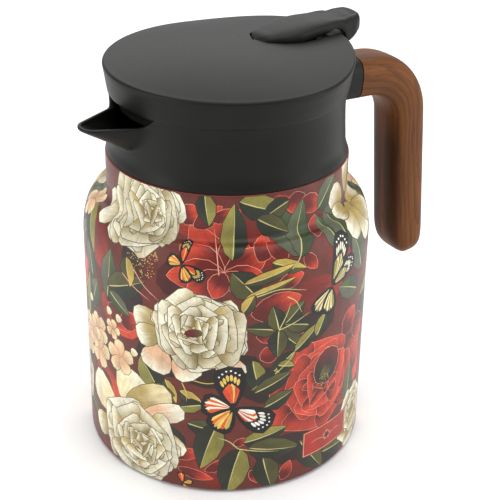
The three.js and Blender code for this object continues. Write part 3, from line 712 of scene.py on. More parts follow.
def foliage(picture):
    """Leaves, in the order they are painted."""
    plain, grey, deep, golden = LEAF_TONES
    for azimuth, height, aim, length, width, tones in (
        (-176, 84, 78, 24, 12, grey), (-175, 90, 20, 24, 13, deep), (-174, 88, -35, 14, 8, grey),
        (-188, 88, 100, 18, 12, grey), (-190, 74, 60, 16, 11, grey), (-164, 108, -85, 13, 8, golden),
        (-121, 114, 83, 25, 13, plain), (-118, 140, -20, 24, 12, plain), (-133, 143, -86, 14, 10, plain),
        (-93, 112, 108, 28, 15, grey), (-94, 112, 70, 26, 13, grey), (-95, 138, 200, 16, 9, deep),
        (-110, 132, -30, 18, 10, deep), (-112, 98, 128, 15, 13, deep), (-74, 108, 100, 20, 10, grey),
        (-68, 108, 96, 24, 12, grey), (-64, 124, 120, 20, 13, grey), (-78, 130, 40, 18, 12, grey),
        (-56, 92, 110, 22, 14, grey), (-60, 84, 150, 18, 11, grey), (-103, 81, 40, 16, 9, deep),
        (-103, 81, -50, 15, 10, deep), (-103, 81, 165, 14, 7, deep), (-103, 81, 100, 12, 8, deep),
        (-103, 81, -95, 13, 9, deep), (-90, 80, 160, 12, 8, deep), (-96, 69, 35, 16, 7, plain),
        (-96, 69, 215, 15, 7, plain), (-86, 73, 60, 11, 7, plain), (-103, 64, -20, 8, 6, plain),
        (-113, 68, -82, 17, 9, plain), (-103, 60, 205, 13, 7, deep), (-112, 52, 20, 18, 8, deep),
        (-108, 44, 20, 14, 8, deep), (-150, 50, 118, 16, 13, plain), (-147, 56, -70, 12, 6, golden),
        (-141, 52, -40, 13, 7, golden), (-132, 46, 190, 12, 7, plain), (-138, 36, -15, 16, 8, deep),
        (-126, 37, -112, 25, 13, plain), (-116, 27, 10, 20, 9, plain), (-114, 24, -15, 24, 12, deep),
        (-117, 24, -108, 25, 14, plain), (-108, 18, -80, 18, 12, deep), (-92, 22, -60, 24, 12, deep),
        (-80, 10, -10, 22, 10, deep), (-66, 8, 30, 18, 9, grey), (-64, 26, 80, 22, 10, grey),
        (-140, 22, 120, 14, 8, deep), (-154, 50, -10, 12, 8, deep), (-106, 112, -22, 16, 6, golden),
        (-117, 104, 10, 24, 5, golden), (-116, 98, 12, 22, 4, golden), (-117, 91, 55, 9, 6, golden),
        (-210, 110, 70, 20, 12, grey), (-45, 100, 70, 22, 12, grey),
    ):
        picture.leaf((azimuth, height), aim, length, width, *tones)


def far_sides(picture):
    """Flowers and leaves for the stretch between the repeats, which the photograph doesn't show."""
    plain, grey, deep, _ = LEAF_TONES
    for azimuth, height, aim, length, width, tones in (
        (-30, 92, 40, 28, 13, grey), (-32, 96, 120, 28, 13, deep), (-36, 88, 200, 24, 12, plain),
        (-28, 84, -30, 26, 12, deep), (-34, 78, -100, 24, 12, grey), (-24, 36, 60, 26, 12, plain),
        (-30, 34, 130, 28, 13, grey), (-26, 30, 190, 22, 11, deep), (-24, 28, -40, 24, 12, deep),
        (-18, 120, -60, 24, 12, plain), (-34, 134, -110, 22, 11, grey), (-14, 66, 80, 22, 11, plain),
        (-40, 58, 60, 20, 10, deep), (-42, 14, 100, 20, 10, deep),
    ):
        picture.leaf((azimuth, height), aim, length, width, *tones)
    red_rings = ((6, 1.0, 0.64), (6, 0.78, 0.56), (5, 0.55, 0.45), (4, 0.34, 0.3), (3, 0.17, 0.18))
    picture.rose((-31, 88), 16, 0, red_rings, **RED_ROSE)
    cream_rings = ((6, 1.0, 0.64), (6, 0.76, 0.54), (5, 0.52, 0.42), (4, 0.3, 0.28))
    picture.rose((-27, 32), 13, 0, cream_rings)
    for azimuth, height, turn in ((-17, 58, 10), (-22, 118, 40), (-36, 8, 0)):
        picture.blossom((azimuth, height), turn, 8, 6.2)


def cream_flowers(picture):
    """The large cream roses, the magnolia at the shoulder and the small blossoms."""
    full = (
        (7, 1.0, 0.62), (6, 0.84, 0.56), (6, 0.68, 0.48), (5, 0.52, 0.4), (4, 0.37, 0.32), (4, 0.24, 0.22),
        (3, 0.12, 0.14),
    )
    for azimuth, height, aim, length, width in (
        (-172, 128, 188, 20, 14), (-172, 130, 215, 22, 12), (-168, 126, 240, 16, 12),
        (-154, 132, 20, 14, 14),
    ):
        picture.bloom_petal((azimuth, height), aim, length, width, CREAM_SHADE, CREAM)
    picture.rose((-163, 130), 20, 0, full, squash=0.84, heart=(0.25, 0.0))
    for azimuth, height, aim, length, width, base, tip in (
        (-148, 72, 250, 14, 15, PEACH, CREAM), (-142, 70, -60, 14, 13, PEACH, CREAM),
        (-126, 70, -50, 14, 12, PEACH, CREAM), (-148, 84, 186, 14, 11, CREAM_SHADE, CREAM),
        (-148, 78, 200, 13, 11, CREAM_SHADE, CREAM),
    ):
        picture.bloom_petal((azimuth, height), aim, length, width, base, tip)
    picture.rose((-133, 82), 20, 12, full, squash=0.7, heart=(-0.05, 0.0))
    picture.petal((-139, 80), 10, 8, 4, (RED_DEEP, OLIVE_DARK), shape=OPEN)
    for azimuth, height, aim, length, width, base, tip in (
        (-172, 28, 155, 22, 19, CREAM_WARM, CREAM), (-168, 36, 62, 20, 20, CREAM_WARM, CREAM),
        (-166, 38, 25, 26, 13, CREAM_SHADE, CREAM_WARM), (-158, 34, 20, 22, 10, PEACH, CREAM),
        (-150, 30, -45, 16, 9, CREAM_SHADE, CREAM), (-176, 20, 210, 16, 12, CREAM_SHADE, CREAM),
    ):
        picture.bloom_petal((azimuth, height), aim, length, width, base, tip)
    picture.rose((-161, 19), 20, 30, full, squash=0.92, heart=(0.2, -0.1))
    for azimuth, height, aim, length, width in (
        (-56, 126, 150, 16, 12), (-52, 122, 220, 18, 13), (-54, 124, -70, 22, 14), (-50, 128, 100, 20, 12),
        (-50, 122, 20, 18, 14), (-56, 124, 190, 12, 9), (-52, 120, -30, 18, 12),
    ):
        picture.bloom_petal((azimuth, height), aim, length, width, CREAM_SHADE, CREAM)
    picture.rose((-57, 18), 13, 0, ((6, 1.0, 0.6), (6, 0.7, 0.5), (5, 0.4, 0.35)), squash=1.3)
    for azimuth, height, size, turn in (
        (-169, 58, 8.5, 20), (-184, 64, 8, 50), (-184, 54, 9, 10), (-190, 60, 8, 80), (-173, 70, 5, 0),
        (-197, 52, 8, 30),
    ):
        picture.blossom((azimuth, height), turn, size, size * 0.78)
        picture.dots((azimuth, height), 1.3, 7, 0.4, GOLD)
    for azimuth, height in ((-170, 75), (-176, 76), (-162, 62), (-192, 74)):
        picture.bloom_petal((azimuth, height), 60, 4, 4, CREAM_WARM, CREAM, edge=0.25, steps=4)


def insects(picture):
    """Four butterflies. Each wing is (aim, length, width, stripes, tip cells)."""
    fire = (ORANGE, RED, YELLOW, ORANGE)
    sand = (CREAM, ORANGE)
    honey = (YELLOW, ORANGE, GOLD)
    pale = (CREAM_WARM, OLIVE)
    mixed = (ORANGE, WHITE, RED, CREAM)
    for place, body_aim, size, wings in (
        ((-120, 45), 60, 5, (
            (97, 21, 14, fire, YELLOW), (-32, 20, 13, mixed, WHITE), (171, 14, 11.5, sand, None),
            (234, 14, 12.5, honey, None),
        )),
        ((-140, 111), 100, 3, (
            (85, 12, 5, fire, GOLD), (-28, 11, 6, fire, GOLD), (165, 7, 6, honey, None),
            (-70, 8, 6, honey, None),
        )),
        ((-79, 94), 60, 5, (
            (68, 24, 11, pale, CREAM), (28, 18, 9, pale, CREAM), (225, 14, 9, pale, None),
            (262, 13, 9, pale, None),
        )),
        ((-140, 4), 60, 2, ((100, 6, 4, fire, None), (-60, 5, 3, honey, None), (20, 5, 3, honey, None))),
    ):
        picture.butterfly(place, wings, body_aim, size)


def stalks(picture):
    """Fine pale tendrils between the leaves."""
    for azimuth, height, path, tone in (
        (-103, 81, ((0, 0), (3, 6), (5, 12)), RIB), (-103, 81, ((0, 0), (7, 2), (14, 5)), RIB),
        (-118, 24, ((0, 0), (8, -2), (18, -4)), RIB), (-118, 24, ((0, 0), (-4, 4), (-9, 6)), RIB),
        (-104, 60, ((0, 0), (6, 5), (10, 11)), RIB), (-166, 100, ((0, 0), (6, -4), (14, -8)), PINK_LINE),
        (-160, 104, ((0, 0), (5, -6), (12, -11)), PINK_LINE), (-98, 108, ((0, 0), (4, 4), (6, 10)), RIB),
        (-100, 96, ((0, 0), (4, -3), (7, -9)), RIB), (-140, 56, ((0, 0), (2, -5), (2, -9)), GOLD),
        (-136, 58, ((0, 0), (6, -1), (12, 0)), GOLD), (-126, 108, ((0, 0), (-1, 8), (-3, 20)), PINK_LINE),
        (-112, 98, ((0, 0), (10, 2), (22, -1)), RIB),
    ):
        picture.stroke((azimuth, height), path, 0.5, tone)


def plaque(picture):
    """A plain panel with a border and a small sprig."""
    low, high = (-90.5, 11.5), (-64, 25)
    width = (high[0] - low[0]) * PER_DEGREE
    height = high[1] - low[1]
    for inset, tone in ((0, GROUND), (0.5, PINK_LINE), (0.9, RED_MIDDLE)):
        right, top = width - inset, height - inset
        outline = [(inset, inset), (right, inset), (right, top), (inset, top)]
        picture.add(outline, low, 0, width, height, (tone, tone), once=True)
    middle = ((low[0] + high[0]) / 2, (low[1] + high[1]) / 2)
    for side in (-1, 1):
        picture.stroke(middle, ((side * 2, -0.6), (side * 6, 0.4), (side * 10, -0.4)), 0.35, PINK_LINE)
    for k in range(5):
        picture.petal(middle, 90 + 72 * k, 2.6, 2.2, (RED_DEEP, PINK_LINE), steps=4)


def paint():
    """Every shape of the picture, in the order they are painted."""
    picture = Picture(seed=7)
    for layer in (backdrop, red_flowers, foliage, stalks, far_sides, cream_flowers, insects, plaque):
        layer(picture)
    return picture.shapes


# ---------------------------------------------------------------- shell

def shell_curve():
    """Dense points of the shell's outside from the foot to the neck's top edge, in metres."""
    shoulder_r = BODY_R - SHOULDER_IN
    foot_r = BODY_R - FOOT_ROUND
    fillet_z = SHOULDER_Z + SHOULDER_RISE + NECK_FILLET
    edge_r = NECK_R - NECK_EDGE
    points = [
        *arc(foot_r, SHELL_FOOT + FOOT_ROUND, FOOT_ROUND, FOOT_ROUND, -90, 0, 24),
        *arc(shoulder_r, SHOULDER_Z, SHOULDER_IN, SHOULDER_RISE, 0, 90, 90),
        *arc(shoulder_r, fillet_z, NECK_FILLET, NECK_FILLET, -90, -180, 40)[1:],
        *arc(edge_r, NECK_TOP - NECK_EDGE, NECK_EDGE, NECK_EDGE, 0, 90, 16),
    ]
    return np.array(points)


class ShellCurve:
    """Radius, height and outward normal along the shell's outside, by millimetres from its foot."""

    def __init__(self):
        self.points = shell_curve()
        steps = np.linalg.norm(np.diff(self.points, axis=0), axis=1)
        self.lengths = np.concatenate([[0], np.cumsum(steps)]) / MM
        way = np.gradient(self.points, self.lengths, axis=0)
        normal = np.stack([way[:, 1], -way[:, 0]], 1)
        self.normals = normal / np.linalg.norm(normal, axis=1)[:, None]
        self.total = self.lengths[-1]

    def at(self, length):
        return [np.interp(length, self.lengths, values) for values in (*self.points.T, *self.normals.T)]

    def rows(self, turn=6.0):
        """Lengths at which the curve has turned by another few degrees."""
        angles = np.degrees(np.unwrap(np.arctan2(self.normals[:, 1], self.normals[:, 0])))
        rows = [0.0]
        last = angles[0]
        for length, angle in zip(self.lengths, angles):
            if abs(angle - last) >= turn:
                rows.append(length)
                last = angle
        return [*rows, self.total]


def clip(points, axis, limit, keep_above):
    """The part of an outline on one side of a line."""
    kept = []
    sign = 1 if keep_above else -1
    for a, b in zip(points, np.roll(points, -1, axis=0)):
        da, db = sign * (a[axis] - limit), sign * (b[axis] - limit)
        if da >= 0:
            kept.append(a)
        if (da > 0 > db) or (da < 0 < db):
            kept.append(a + (b - a) * da / (da - db))
    return np.array(kept)


def flat_shapes(high):
    """Every painted outline as it lies on the unrolled shell, with its copies round the jug."""
    start = SEAM * PER_DEGREE
    for shape in paint():
        for turn in ((-360, 0, 360) if shape["once"] else (-540, -360, -180, 0, 180, 360)):
            shift = np.array([turn * PER_DEGREE - start, 0])
            points = shape["points"] + shift
            if points[:, 0].max() <= 0 or points[:, 0].min() >= ROUND_WIDTH:
                continue
            points = clip(points, 1, PRINT_LOW, True)
            if len(points) > 2:
                points = clip(points, 1, high, False)
            if len(points) < 3:
                continue
            following = np.roll(points, -1, axis=0)
            doubled_area = np.sum(points[:, 0] * following[:, 1] - following[:, 0] * points[:, 1])
            if doubled_area < 0:
                points = points[::-1]
            yield points, {**shape, "origin": shape["origin"] + shift}


def triangulate(curve):
    """Cuts the unrolled shell along every outline: flat points, triangles and each one's topmost shape."""
    points = [(0, 0), (ROUND_WIDTH, 0), (ROUND_WIDTH, curve.total), (0, curve.total)]
    faces = [[0, 1, 2, 3]]
    shapes = [None]
    for outline, shape in flat_shapes(curve.total - PRINT_LOW):
        faces.append(list(range(len(points), len(points) + len(outline))))
        points += [tuple(p) for p in outline]
        shapes.append(shape)
    edges = []
    lines = [((x, 0), (x, curve.total)) for x in np.linspace(0, ROUND_WIDTH, SHELL_COLUMNS + 1)]
    lines += [((0, y), (ROUND_WIDTH, y)) for y in curve.rows()]
    for line in lines:
        edges.append((len(points), len(points) + 1))
        points += line
    flat_points = [Vector(p) for p in points]
    flat, _, triangles, _, _, owners = delaunay_2d_cdt(flat_points, edges, faces, 0, 1e-5, True)
    kept = [(t, max(o)) for t, o in zip(triangles, owners) if 0 in o]
    return np.array([tuple(p) for p in flat]), np.array([t for t, _ in kept]), [o for _, o in kept], shapes


def corner_paint(flat, triangles, owners, shapes):
    """For each triangle's corner: place in its petal, colours at the base and tip, and style."""
    count = len(triangles) * 3
    petal = np.zeros((count, 3))
    base = np.tile([*GROUND, 1.0], (count, 1))
    tip = base.copy()
    style = np.zeros((count, 3))
    corners = flat[triangles.reshape(-1)]
    owner = np.repeat(owners, 3)
    for index in np.unique(owner):
        if index == 0:
            continue
        shape = shapes[index]
        rows = owner == index
        local = corners[rows] - shape["origin"]
        along = local @ shape["way"] / shape["length"]
        across = (local @ shape["side"] - shape["bend"] * shape["length"] * along**2) / shape["half"]
        petal[rows] = np.stack([across, along, np.full(rows.sum(), shape["seed"])], 1)
        base[rows, :3], tip[rows, :3] = shape["tones"]
        style[rows] = shape["style"]
    return {"petal": petal, "base_tone": base, "tip_tone": tip, "style": style}


def inner_line():
    """The rest of the shell's section: over the neck, up the mouth and back down inside."""
    wall = SHELL_WALL
    neck_inside = MOUTH_R + wall + GAP
    neck_outside = neck_inside + wall
    neck_under = NECK_TOP - wall
    shoulder_r = BODY_R - SHOULDER_IN
    fillet_z = SHOULDER_Z + SHOULDER_RISE + NECK_FILLET
    foot_r = BODY_R - FOOT_ROUND
    return [
        (neck_outside, NECK_TOP), (neck_outside, MOUTH_TOP), (neck_inside, MOUTH_TOP),
        (neck_inside, neck_under), (NECK_R - wall, neck_under),
        *arc(shoulder_r, fillet_z, NECK_FILLET + wall, NECK_FILLET + wall, -180, -90, 8),
        *arc(shoulder_r, SHOULDER_Z, SHOULDER_IN - wall, SHOULDER_RISE - wall, 90, 0, 16)[1:],
        *arc(foot_r, SHELL_FOOT + FOOT_ROUND, FOOT_ROUND - wall, FOOT_ROUND - wall, 0, -90, 6),
        (foot_r - FOOT_ROUND, SHELL_FOOT + wall), (foot_r - FOOT_ROUND, SHELL_FOOT),
    ]


def corner_layers(mesh, attributes, keep, plain):
    """Stores the paint of the kept corners. plain corners without paint follow them."""
    for name, values in attributes.items():
        is_colour = values.shape[1] == 4
        kind = "FLOAT_COLOR" if is_colour else "FLOAT_VECTOR"
        values = np.concatenate([values[keep], np.zeros((plain, values.shape[1]))])
        layer = mesh.attributes.new(name, kind, "CORNER")
        layer.data.foreach_set("color" if is_colour else "vector", values.astype(np.float32).reshape(-1))


def outer_shell(print_finish, steel_finish):
    """The shell: its outside cut along the picture and with exact normals, its inside as plain quads."""
    curve = ShellCurve()
    flat, triangles, owners, shapes = triangulate(curve)
    azimuth = np.radians(SEAM + flat[:, 0] / PER_DEGREE)
    radius, height, out, up = curve.at(flat[:, 1])
    points = np.stack([radius * np.cos(azimuth), radius * np.sin(azimuth), height], 1)
    normals = np.stack([out * np.cos(azimuth), out * np.sin(azimuth), up], 1)

    section = [curve.points[-1], *inner_line(), curve.points[0]]
    turns = np.radians(SEAM + np.linspace(0, 360, SHELL_COLUMNS, endpoint=False))
    inside, quads = skin([[(r * math.cos(a), r * math.sin(a), z) for a in turns] for r, z in section])
    first = len(points)
    points = np.concatenate([points, inside])

    # Points in the same place become one, at the seam and where the outside meets the inside.
    places = np.round(points / 1e-6).astype(np.int64)
    _, where, merged = np.unique(places, axis=0, return_index=True, return_inverse=True)
    merged = merged.reshape(-1)
    corner_normals = normals[triangles.reshape(-1)]
    attributes = corner_paint(flat, triangles, owners, shapes)
    triangles = merged[triangles]
    sound = np.all(triangles != np.roll(triangles, 1, axis=1), axis=1)
    keep = np.repeat(sound, 3)
    quads = [tuple(int(merged[first + v]) for v in quad) for quad in quads]

    mesh = bpy.data.meshes.new("printed_shell")
    faces = [tuple(int(v) for v in t) for t in triangles[sound]] + quads
    mesh.from_pydata([tuple(p) for p in points[where]], [], faces)
    mesh.polygons.foreach_set("use_smooth", [True] * len(faces))
    plain = len(quads) * 4
    corner_layers(mesh, attributes, keep, plain)
    mesh.materials.append(print_finish)
    mesh.materials.append(steel_finish)
    mesh.polygons.foreach_set("material_index", [0] * int(sound.sum()) + [1] * len(quads))
    mesh.set_sharp_from_angle(angle=math.radians(40))
    mesh.normals_split_custom_set([*corner_normals[keep].tolist(), *([(0, 0, 0)] * plain)])
    mesh.update()
    made = bpy.data.objects.new("printed_shell", mesh)
    bpy.context.scene.collection.objects.link(made)
    return belongs(made, "jug", "printed_shell", "outer_shell")


def inner_flask(finish):
    """The flask's inner wall, from the axis over its floor and shoulder to the mouth."""
    wide_r = 57.5 * MM
    floor_z = 9 * MM
    floor_round = 10 * MM
    shoulder_z = 96 * MM
    shoulder_rise = 17.5 * MM
    fillet = 3.7 * MM
    shoulder_in = wide_r - MOUTH_R - fillet
    fillet_r = MOUTH_R + fillet
    fillet_z = shoulder_z + shoulder_rise + fillet

    def line(out):
        corner = floor_round + out
        return [
            (0, floor_z - out),
            *arc(wide_r - floor_round, floor_z + floor_round, corner, corner, -90, 0, 14),
            *arc(fillet_r, shoulder_z, shoulder_in + out, shoulder_rise + out, 0, 90, 20),
            *arc(fillet_r, fillet_z, fillet - out, fillet - out, -90, -180, 8)[1:],
            (MOUTH_R + out, MOUTH_TOP),
        ]

    made = lathe("flask_wall", [*line(SHELL_WALL), *line(0)[::-1]], finish, 144)
    return belongs(made, "jug", "steel", "inner_flask")


# ---------------------------------------------------------------- collar and spout

def collar_radius():
    """Radius of the collar's outside at a height."""
    knots = [(137.5, 51.3), (138.3, 51.15), (141.3, 50.35), (146.3, 49.93), (153.1, 49.55), (160, 49.45),
             (163.6, 49.75), (165.65, 50)]
    return curve_through(knots, MM)


def spout_width(behind):
    """Half the spout's width at a distance behind its tip."""
    flank = 4.4 * MM + 0.455 * behind + 0.13 / MM * max(0, behind - 19.5 * MM) ** 2
    tip = 3.4 * MM
    roundness = (1 - (1 - behind / tip) ** 2.3) ** (1 / 2.3) if behind < tip else 1
    return flank * roundness


def spout_edge(behind):
    """Height of the spout's lip at a distance behind its tip."""
    return SPOUT_RIM + 0.199 / MM * max(0, behind - 19 * MM) ** 2


def spout_reach(azimuth, z):
    """Distance from the axis of the spout's outside in a direction, measured from -X, at a height."""
    def gap(r):
        behind = SPOUT_TIP - r * math.cos(azimuth)
        top = spout_edge(max(0, behind))
        keel = SPOUT_RIM - 1.2 * MM - 0.6 * behind
        if behind <= 0 or z < keel:
            return 1
        depth = min(max((top - z) / (top - keel), 0), 1)
        return r * abs(math.sin(azimuth)) - spout_width(behind) * math.sqrt(max(0, 1 - depth ** (2 / 0.9)))

    outer, inner = SPOUT_TIP + 1 * MM, 40 * MM
    if gap(inner) > 0:
        return 0
    for _ in range(40):
        middle = (outer + inner) / 2
        if gap(middle) > 0:
            outer = middle
        else:
            inner = middle
    return inner


def smooth_max(a, b, radius):
    """The larger of two values, with a soft change where they meet."""
    mixed = max(radius - abs(a - b), 0) / radius
    return max(a, b) + mixed * mixed * radius / 4


def lip_outline():
    """Points of the collar's top edge with its spout, once round."""
    reach = 24.6 * MM
    half = []
    for behind in [0.05, 0.25, 0.6, 1.1, 1.8, 2.6, 3.5, 4.6, *np.arange(6, 24.6, 0.8), 24.6]:
        behind = min(behind * MM, reach)
        half.append((SPOUT_TIP - behind, spout_width(behind), spout_edge(behind)))
    last = math.atan2(half[-1][1], half[-1][0])
    radius = collar_radius()(COLLAR_TOP)
    for turn in np.linspace(last, math.pi, 76)[1:]:
        half.append((radius * math.cos(turn), radius * math.sin(turn), COLLAR_TOP))
    ring = [(-x, -y, z) for x, y, z in half]
    ring += [(-x, y, z) for x, y, z in half[-2::-1]]
    return np.array(ring)


def inward_ways(outline):
    """For each point of an outline round the axis: the direction square to it, towards the inside."""
    way = np.roll(outline, -1, axis=0) - np.roll(outline, 1, axis=0)
    inward = np.stack([way[:, 1], -way[:, 0]], 1)
    inward /= np.linalg.norm(inward, axis=1)[:, None]
    return inward * -np.sign(np.sum(inward * outline, axis=1))[:, None]


def collar_inside():
    """The collar's section from its shelf over the flask's mouth down to the bottom edge."""
    edge = 0.3 * MM
    seat = MOUTH_TOP + 1.8 * MM
    return [
        (COLLAR_BORE, SHELF_TOP), (SHELF_R + edge, SHELF_TOP), (SHELF_R, SHELF_TOP - edge), (SHELF_R, seat),
        (COLLAR_BORE, seat), (COLLAR_BORE, COLLAR_LOW.z + edge), (COLLAR_BORE + edge, COLLAR_LOW.z),
        (51 * MM, COLLAR_LOW.z),
    ]


def collar_column(radius, brink, top, inward):
    """One column of the collar's skin: up the outside, over the lip, down the bore and under the shelf.

    brink is the top edge's place from above, and inward the way across the edge there.
    """
    rounding = 0.75 * MM
    away = math.hypot(*brink)
    neck_r = radius(COLLAR_TOP)
    on_spout = top < COLLAR_TOP - 1e-9 or away > neck_r + 0.05 * MM
    outward = brink / away
    bore = outward * COLLAR_BORE
    inner = bore
    if on_spout:
        blend = float(smoothstep(away, neck_r - 0.2 * MM, neck_r + 3 * MM))
        inner = (brink + inward * SPOUT_WALL) * blend + bore * (1 - blend)
    across = (inner - brink) / np.linalg.norm(inner - brink)
    ridge = top - rounding

    column = []
    for share in [0, 0.012, 0.03, *np.linspace(0.06, 1, 40)]:
        z = COLLAR_LOW.z + (ridge - COLLAR_LOW.z) * share
        r = radius(z)
        if on_spout:
            r = smooth_max(r, spout_reach(math.atan2(brink[1], -brink[0]), z), 1.6 * MM)
        column.append((*(outward * r), z))
    shift = np.array(column[-1][:2]) - brink
    for angle in np.radians([18, 36, 54, 72, 90]):
        edge = brink + across * rounding * (1 - math.cos(angle)) + shift * (1 - angle * 2 / math.pi)
        column.append((*edge, ridge + rounding * math.sin(angle)))
    for angle in np.radians([90, 72, 54, 36, 18, 0]):
        edge = inner - across * rounding * (1 - math.cos(angle))
        column.append((*edge, ridge + rounding * math.sin(angle)))
    start = np.array(column[-1])
    end = np.array([*bore, SHELF_TOP + (0.4 * MM if on_spout else 0)])
    column += [tuple(start + (end - start) * share) for share in (0.2, 0.4, 0.6, 0.8, 1)]
    return column + [(*(outward * r), z) for r, z in collar_inside()]


def collar(finish):
    """The collar with its spout, as one skin of columns round the axis."""
    radius = collar_radius()
    ring = lip_outline()
    inward = inward_ways(ring[:, :2])
    columns = [collar_column(radius, point[:2], point[2], way) for point, way in zip(ring, inward)]
    made = make_object("collar_and_spout", *skin(list(zip(*columns)), loop=True), finish, 32)
    return belongs(made, "jug", "black_plastic", "collar")


# ---------------------------------------------------------------- lid

def rim_rise(x, y):
    """Extra height of the lid's rim in a direction, most of it under the thumb lever."""
    away = min(1, abs(math.atan2(y, x)) / LID_SWEEP_ENDS)
    return LID_SWEEP * (1 + math.cos(math.pi * away)) / 2


def lid_top(x, y):
    """Height of the lid's upper surface over a point."""
    share = math.hypot(x, y) / LID_RIM_R
    for _ in range(3):
        share = math.hypot(x - LID_SHIFT * share, y) / LID_RIM_R
    return LID_RIM_Z + LID_CROWN * (1 - min(share, 1) ** 2.2) + rim_rise(x, y) * min(share, 1) ** 3


# The lever's outlines from above and from the side: millimetres from the axis, then half width or height.
lever_half_width = curve_through([
    (12.8, 0.3), (14.4, 4.2), (19, 8.2), (28, 11), (38, 10.3), (48, 9.1), (57, 8.9), (61.9, 7.6), (64.6, 4.6),
    (65.7, 0.4),
], MM)
lever_top = curve_through([
    (12.8, 181.2), (15, 182.9), (20, 184.3), (28, 185.6), (37, 186.4), (46, 186.3), (54, 186.5), (61, 187.1),
    (63.8, 186.6), (65.7, 184),
], MM)
lever_bottom = curve_through([
    (12.8, 180), (15, 178.7), (20, 178.3), (30, 178.3), (37, 179.3), (44, 180.2), (52.6, 180.1), (54, 178.2),
    (54.9, 174.9), (56.5, 174.2), (58.5, 174.9), (60.5, 176.3), (63.2, 178), (65, 179.2), (65.7, 181),
], MM)

LID_CENTRE = 34 * MM  # the lid's columns fan out from here, inside the slot of the lever's pocket
SLOT_FRONT, SLOT_BACK, SLOT_HALF = 28.6 * MM, 43.6 * MM, 5.4 * MM


def reach_to(inside, direction, far):
    """Distance from the lid's column centre to where an outline ends in a direction."""
    low, high = 0.0, far
    for _ in range(40):
        middle = (low + high) / 2
        if inside(LID_CENTRE + middle * math.cos(direction), middle * math.sin(direction)):
            low = middle
        else:
            high = middle
    return low


def in_pocket(x, y):
    """Whether a place from above is in the lever's pocket, which has a rounded front and an open back."""
    front = LEVER_FRONT - POCKET_GAP
    if x < front:
        return False
    nose = math.sqrt(min(1, (x - front) / (1.6 * MM)))
    return abs(y) < (lever_half_width(min(max(x, LEVER_FRONT), POCKET_BACK)) + POCKET_GAP) * nose


def in_slot(x, y):
    return SLOT_FRONT < x < SLOT_BACK and abs(y) < SLOT_HALF


def in_circle(radius, shift):
    return lambda x, y: math.hypot(x - shift, y) < radius


def lid_column(direction):
    """One column of the lid's skin: from the slot over pocket, top, rim and skirt, and back underneath."""
    far = 120 * MM
    rim_round = 1.3 * MM
    edge = 0.5 * MM
    bevel = 0.3 * MM
    corner = 0.25 * MM
    floor_under = POCKET_FLOOR - 1.8 * MM
    way_x, way_y = math.cos(direction), math.sin(direction)
    column = []

    def at(distance):
        return LID_CENTRE + distance * way_x, distance * way_y

    def add(distance, z):
        column.append((*at(distance), z))

    def top(distance):
        """Height of the upper side. Where the pocket is open at the back, its floor runs on to the rim."""
        return POCKET_FLOOR if open_back else lid_top(*at(distance))

    slot = reach_to(in_slot, direction, 40 * MM)
    pocket = reach_to(in_pocket, direction, 60 * MM)
    rim = reach_to(in_circle(LID_RIM_R, LID_SHIFT), direction, far)
    rim -= 0.25 * rim_rise(*at(rim))
    skirt = reach_to(in_circle(LID_SKIRT_R, 0), direction, far)
    bend = reach_to(in_circle(LID_SKIRT_R + 0.5 * MM, 0.2 * LID_SHIFT), direction, far)
    brow = rim - rim_round
    last = brow - 2 * edge
    open_back = pocket > last
    pocket = min(pocket, last)
    step = 0 if open_back else 1

    add(slot, floor_under)
    add(slot, POCKET_FLOOR - bevel)
    add(slot + bevel, POCKET_FLOOR)
    for share in (0.3, 0.6, 0.9):
        add(slot + (pocket - slot) * share, POCKET_FLOOR)
    add(pocket - corner, POCKET_FLOOR)
    add(pocket, POCKET_FLOOR + corner * step)
    brink = top(pocket + edge)
    for angle in np.radians([0, 22, 45, 67, 90]):
        add(pocket + edge * (1 - math.cos(angle)), brink - edge * (1 - math.sin(angle)) * step)

    for share in np.linspace(0, 1, 30)[1:-1]:
        distance = pocket + edge + (brow - pocket - edge) * share
        add(distance, top(distance))
    crest = top(brow)
    for angle in np.radians([90, 75, 60, 45, 30, 15, 0]):
        add(rim - rim_round * (1 - math.cos(angle)), crest - rim_round * (1 - math.sin(angle)))

    low = crest - rim_round
    flare_end = LID_BOTTOM + 2.5 * MM
    for share in (0.25, 0.5, 0.75, 1):
        add(rim + (bend - rim) * share**0.9, low + (flare_end - low) * share)
    add(skirt + 0.12 * MM, LID_BOTTOM + 1 * MM)
    add(skirt, LID_BOTTOM + edge)
    add(skirt - edge, LID_BOTTOM)
    add(skirt - LID_WALL, LID_BOTTOM)
    add(skirt - LID_WALL, LID_RIM_Z - 4 * MM)

    outside = skirt - LID_WALL - 3 * MM
    beside_pocket = min(pocket + 1.5 * MM, outside - 1 * MM)
    add(outside, top(outside) - LID_WALL - 0.6 * MM)
    for share in (0.8, 0.6, 0.4, 0.2):
        distance = beside_pocket + (outside - beside_pocket) * share
        add(distance, top(distance) - LID_WALL)
    add(beside_pocket, max(top(beside_pocket) - LID_WALL, floor_under + 0.1 * MM))
    add(beside_pocket - bevel, floor_under)
    return column


def lid_cover(finish):
    """The lid as one skin of columns round the lever's slot."""
    count = 240
    columns = [lid_column(2 * math.pi * i / count) for i in range(count)]
    made = make_object("lid_shell", *skin(list(zip(*columns)), loop=True), finish, 40)
    return belongs(made, "lid", "black_plastic", "lid_cover")


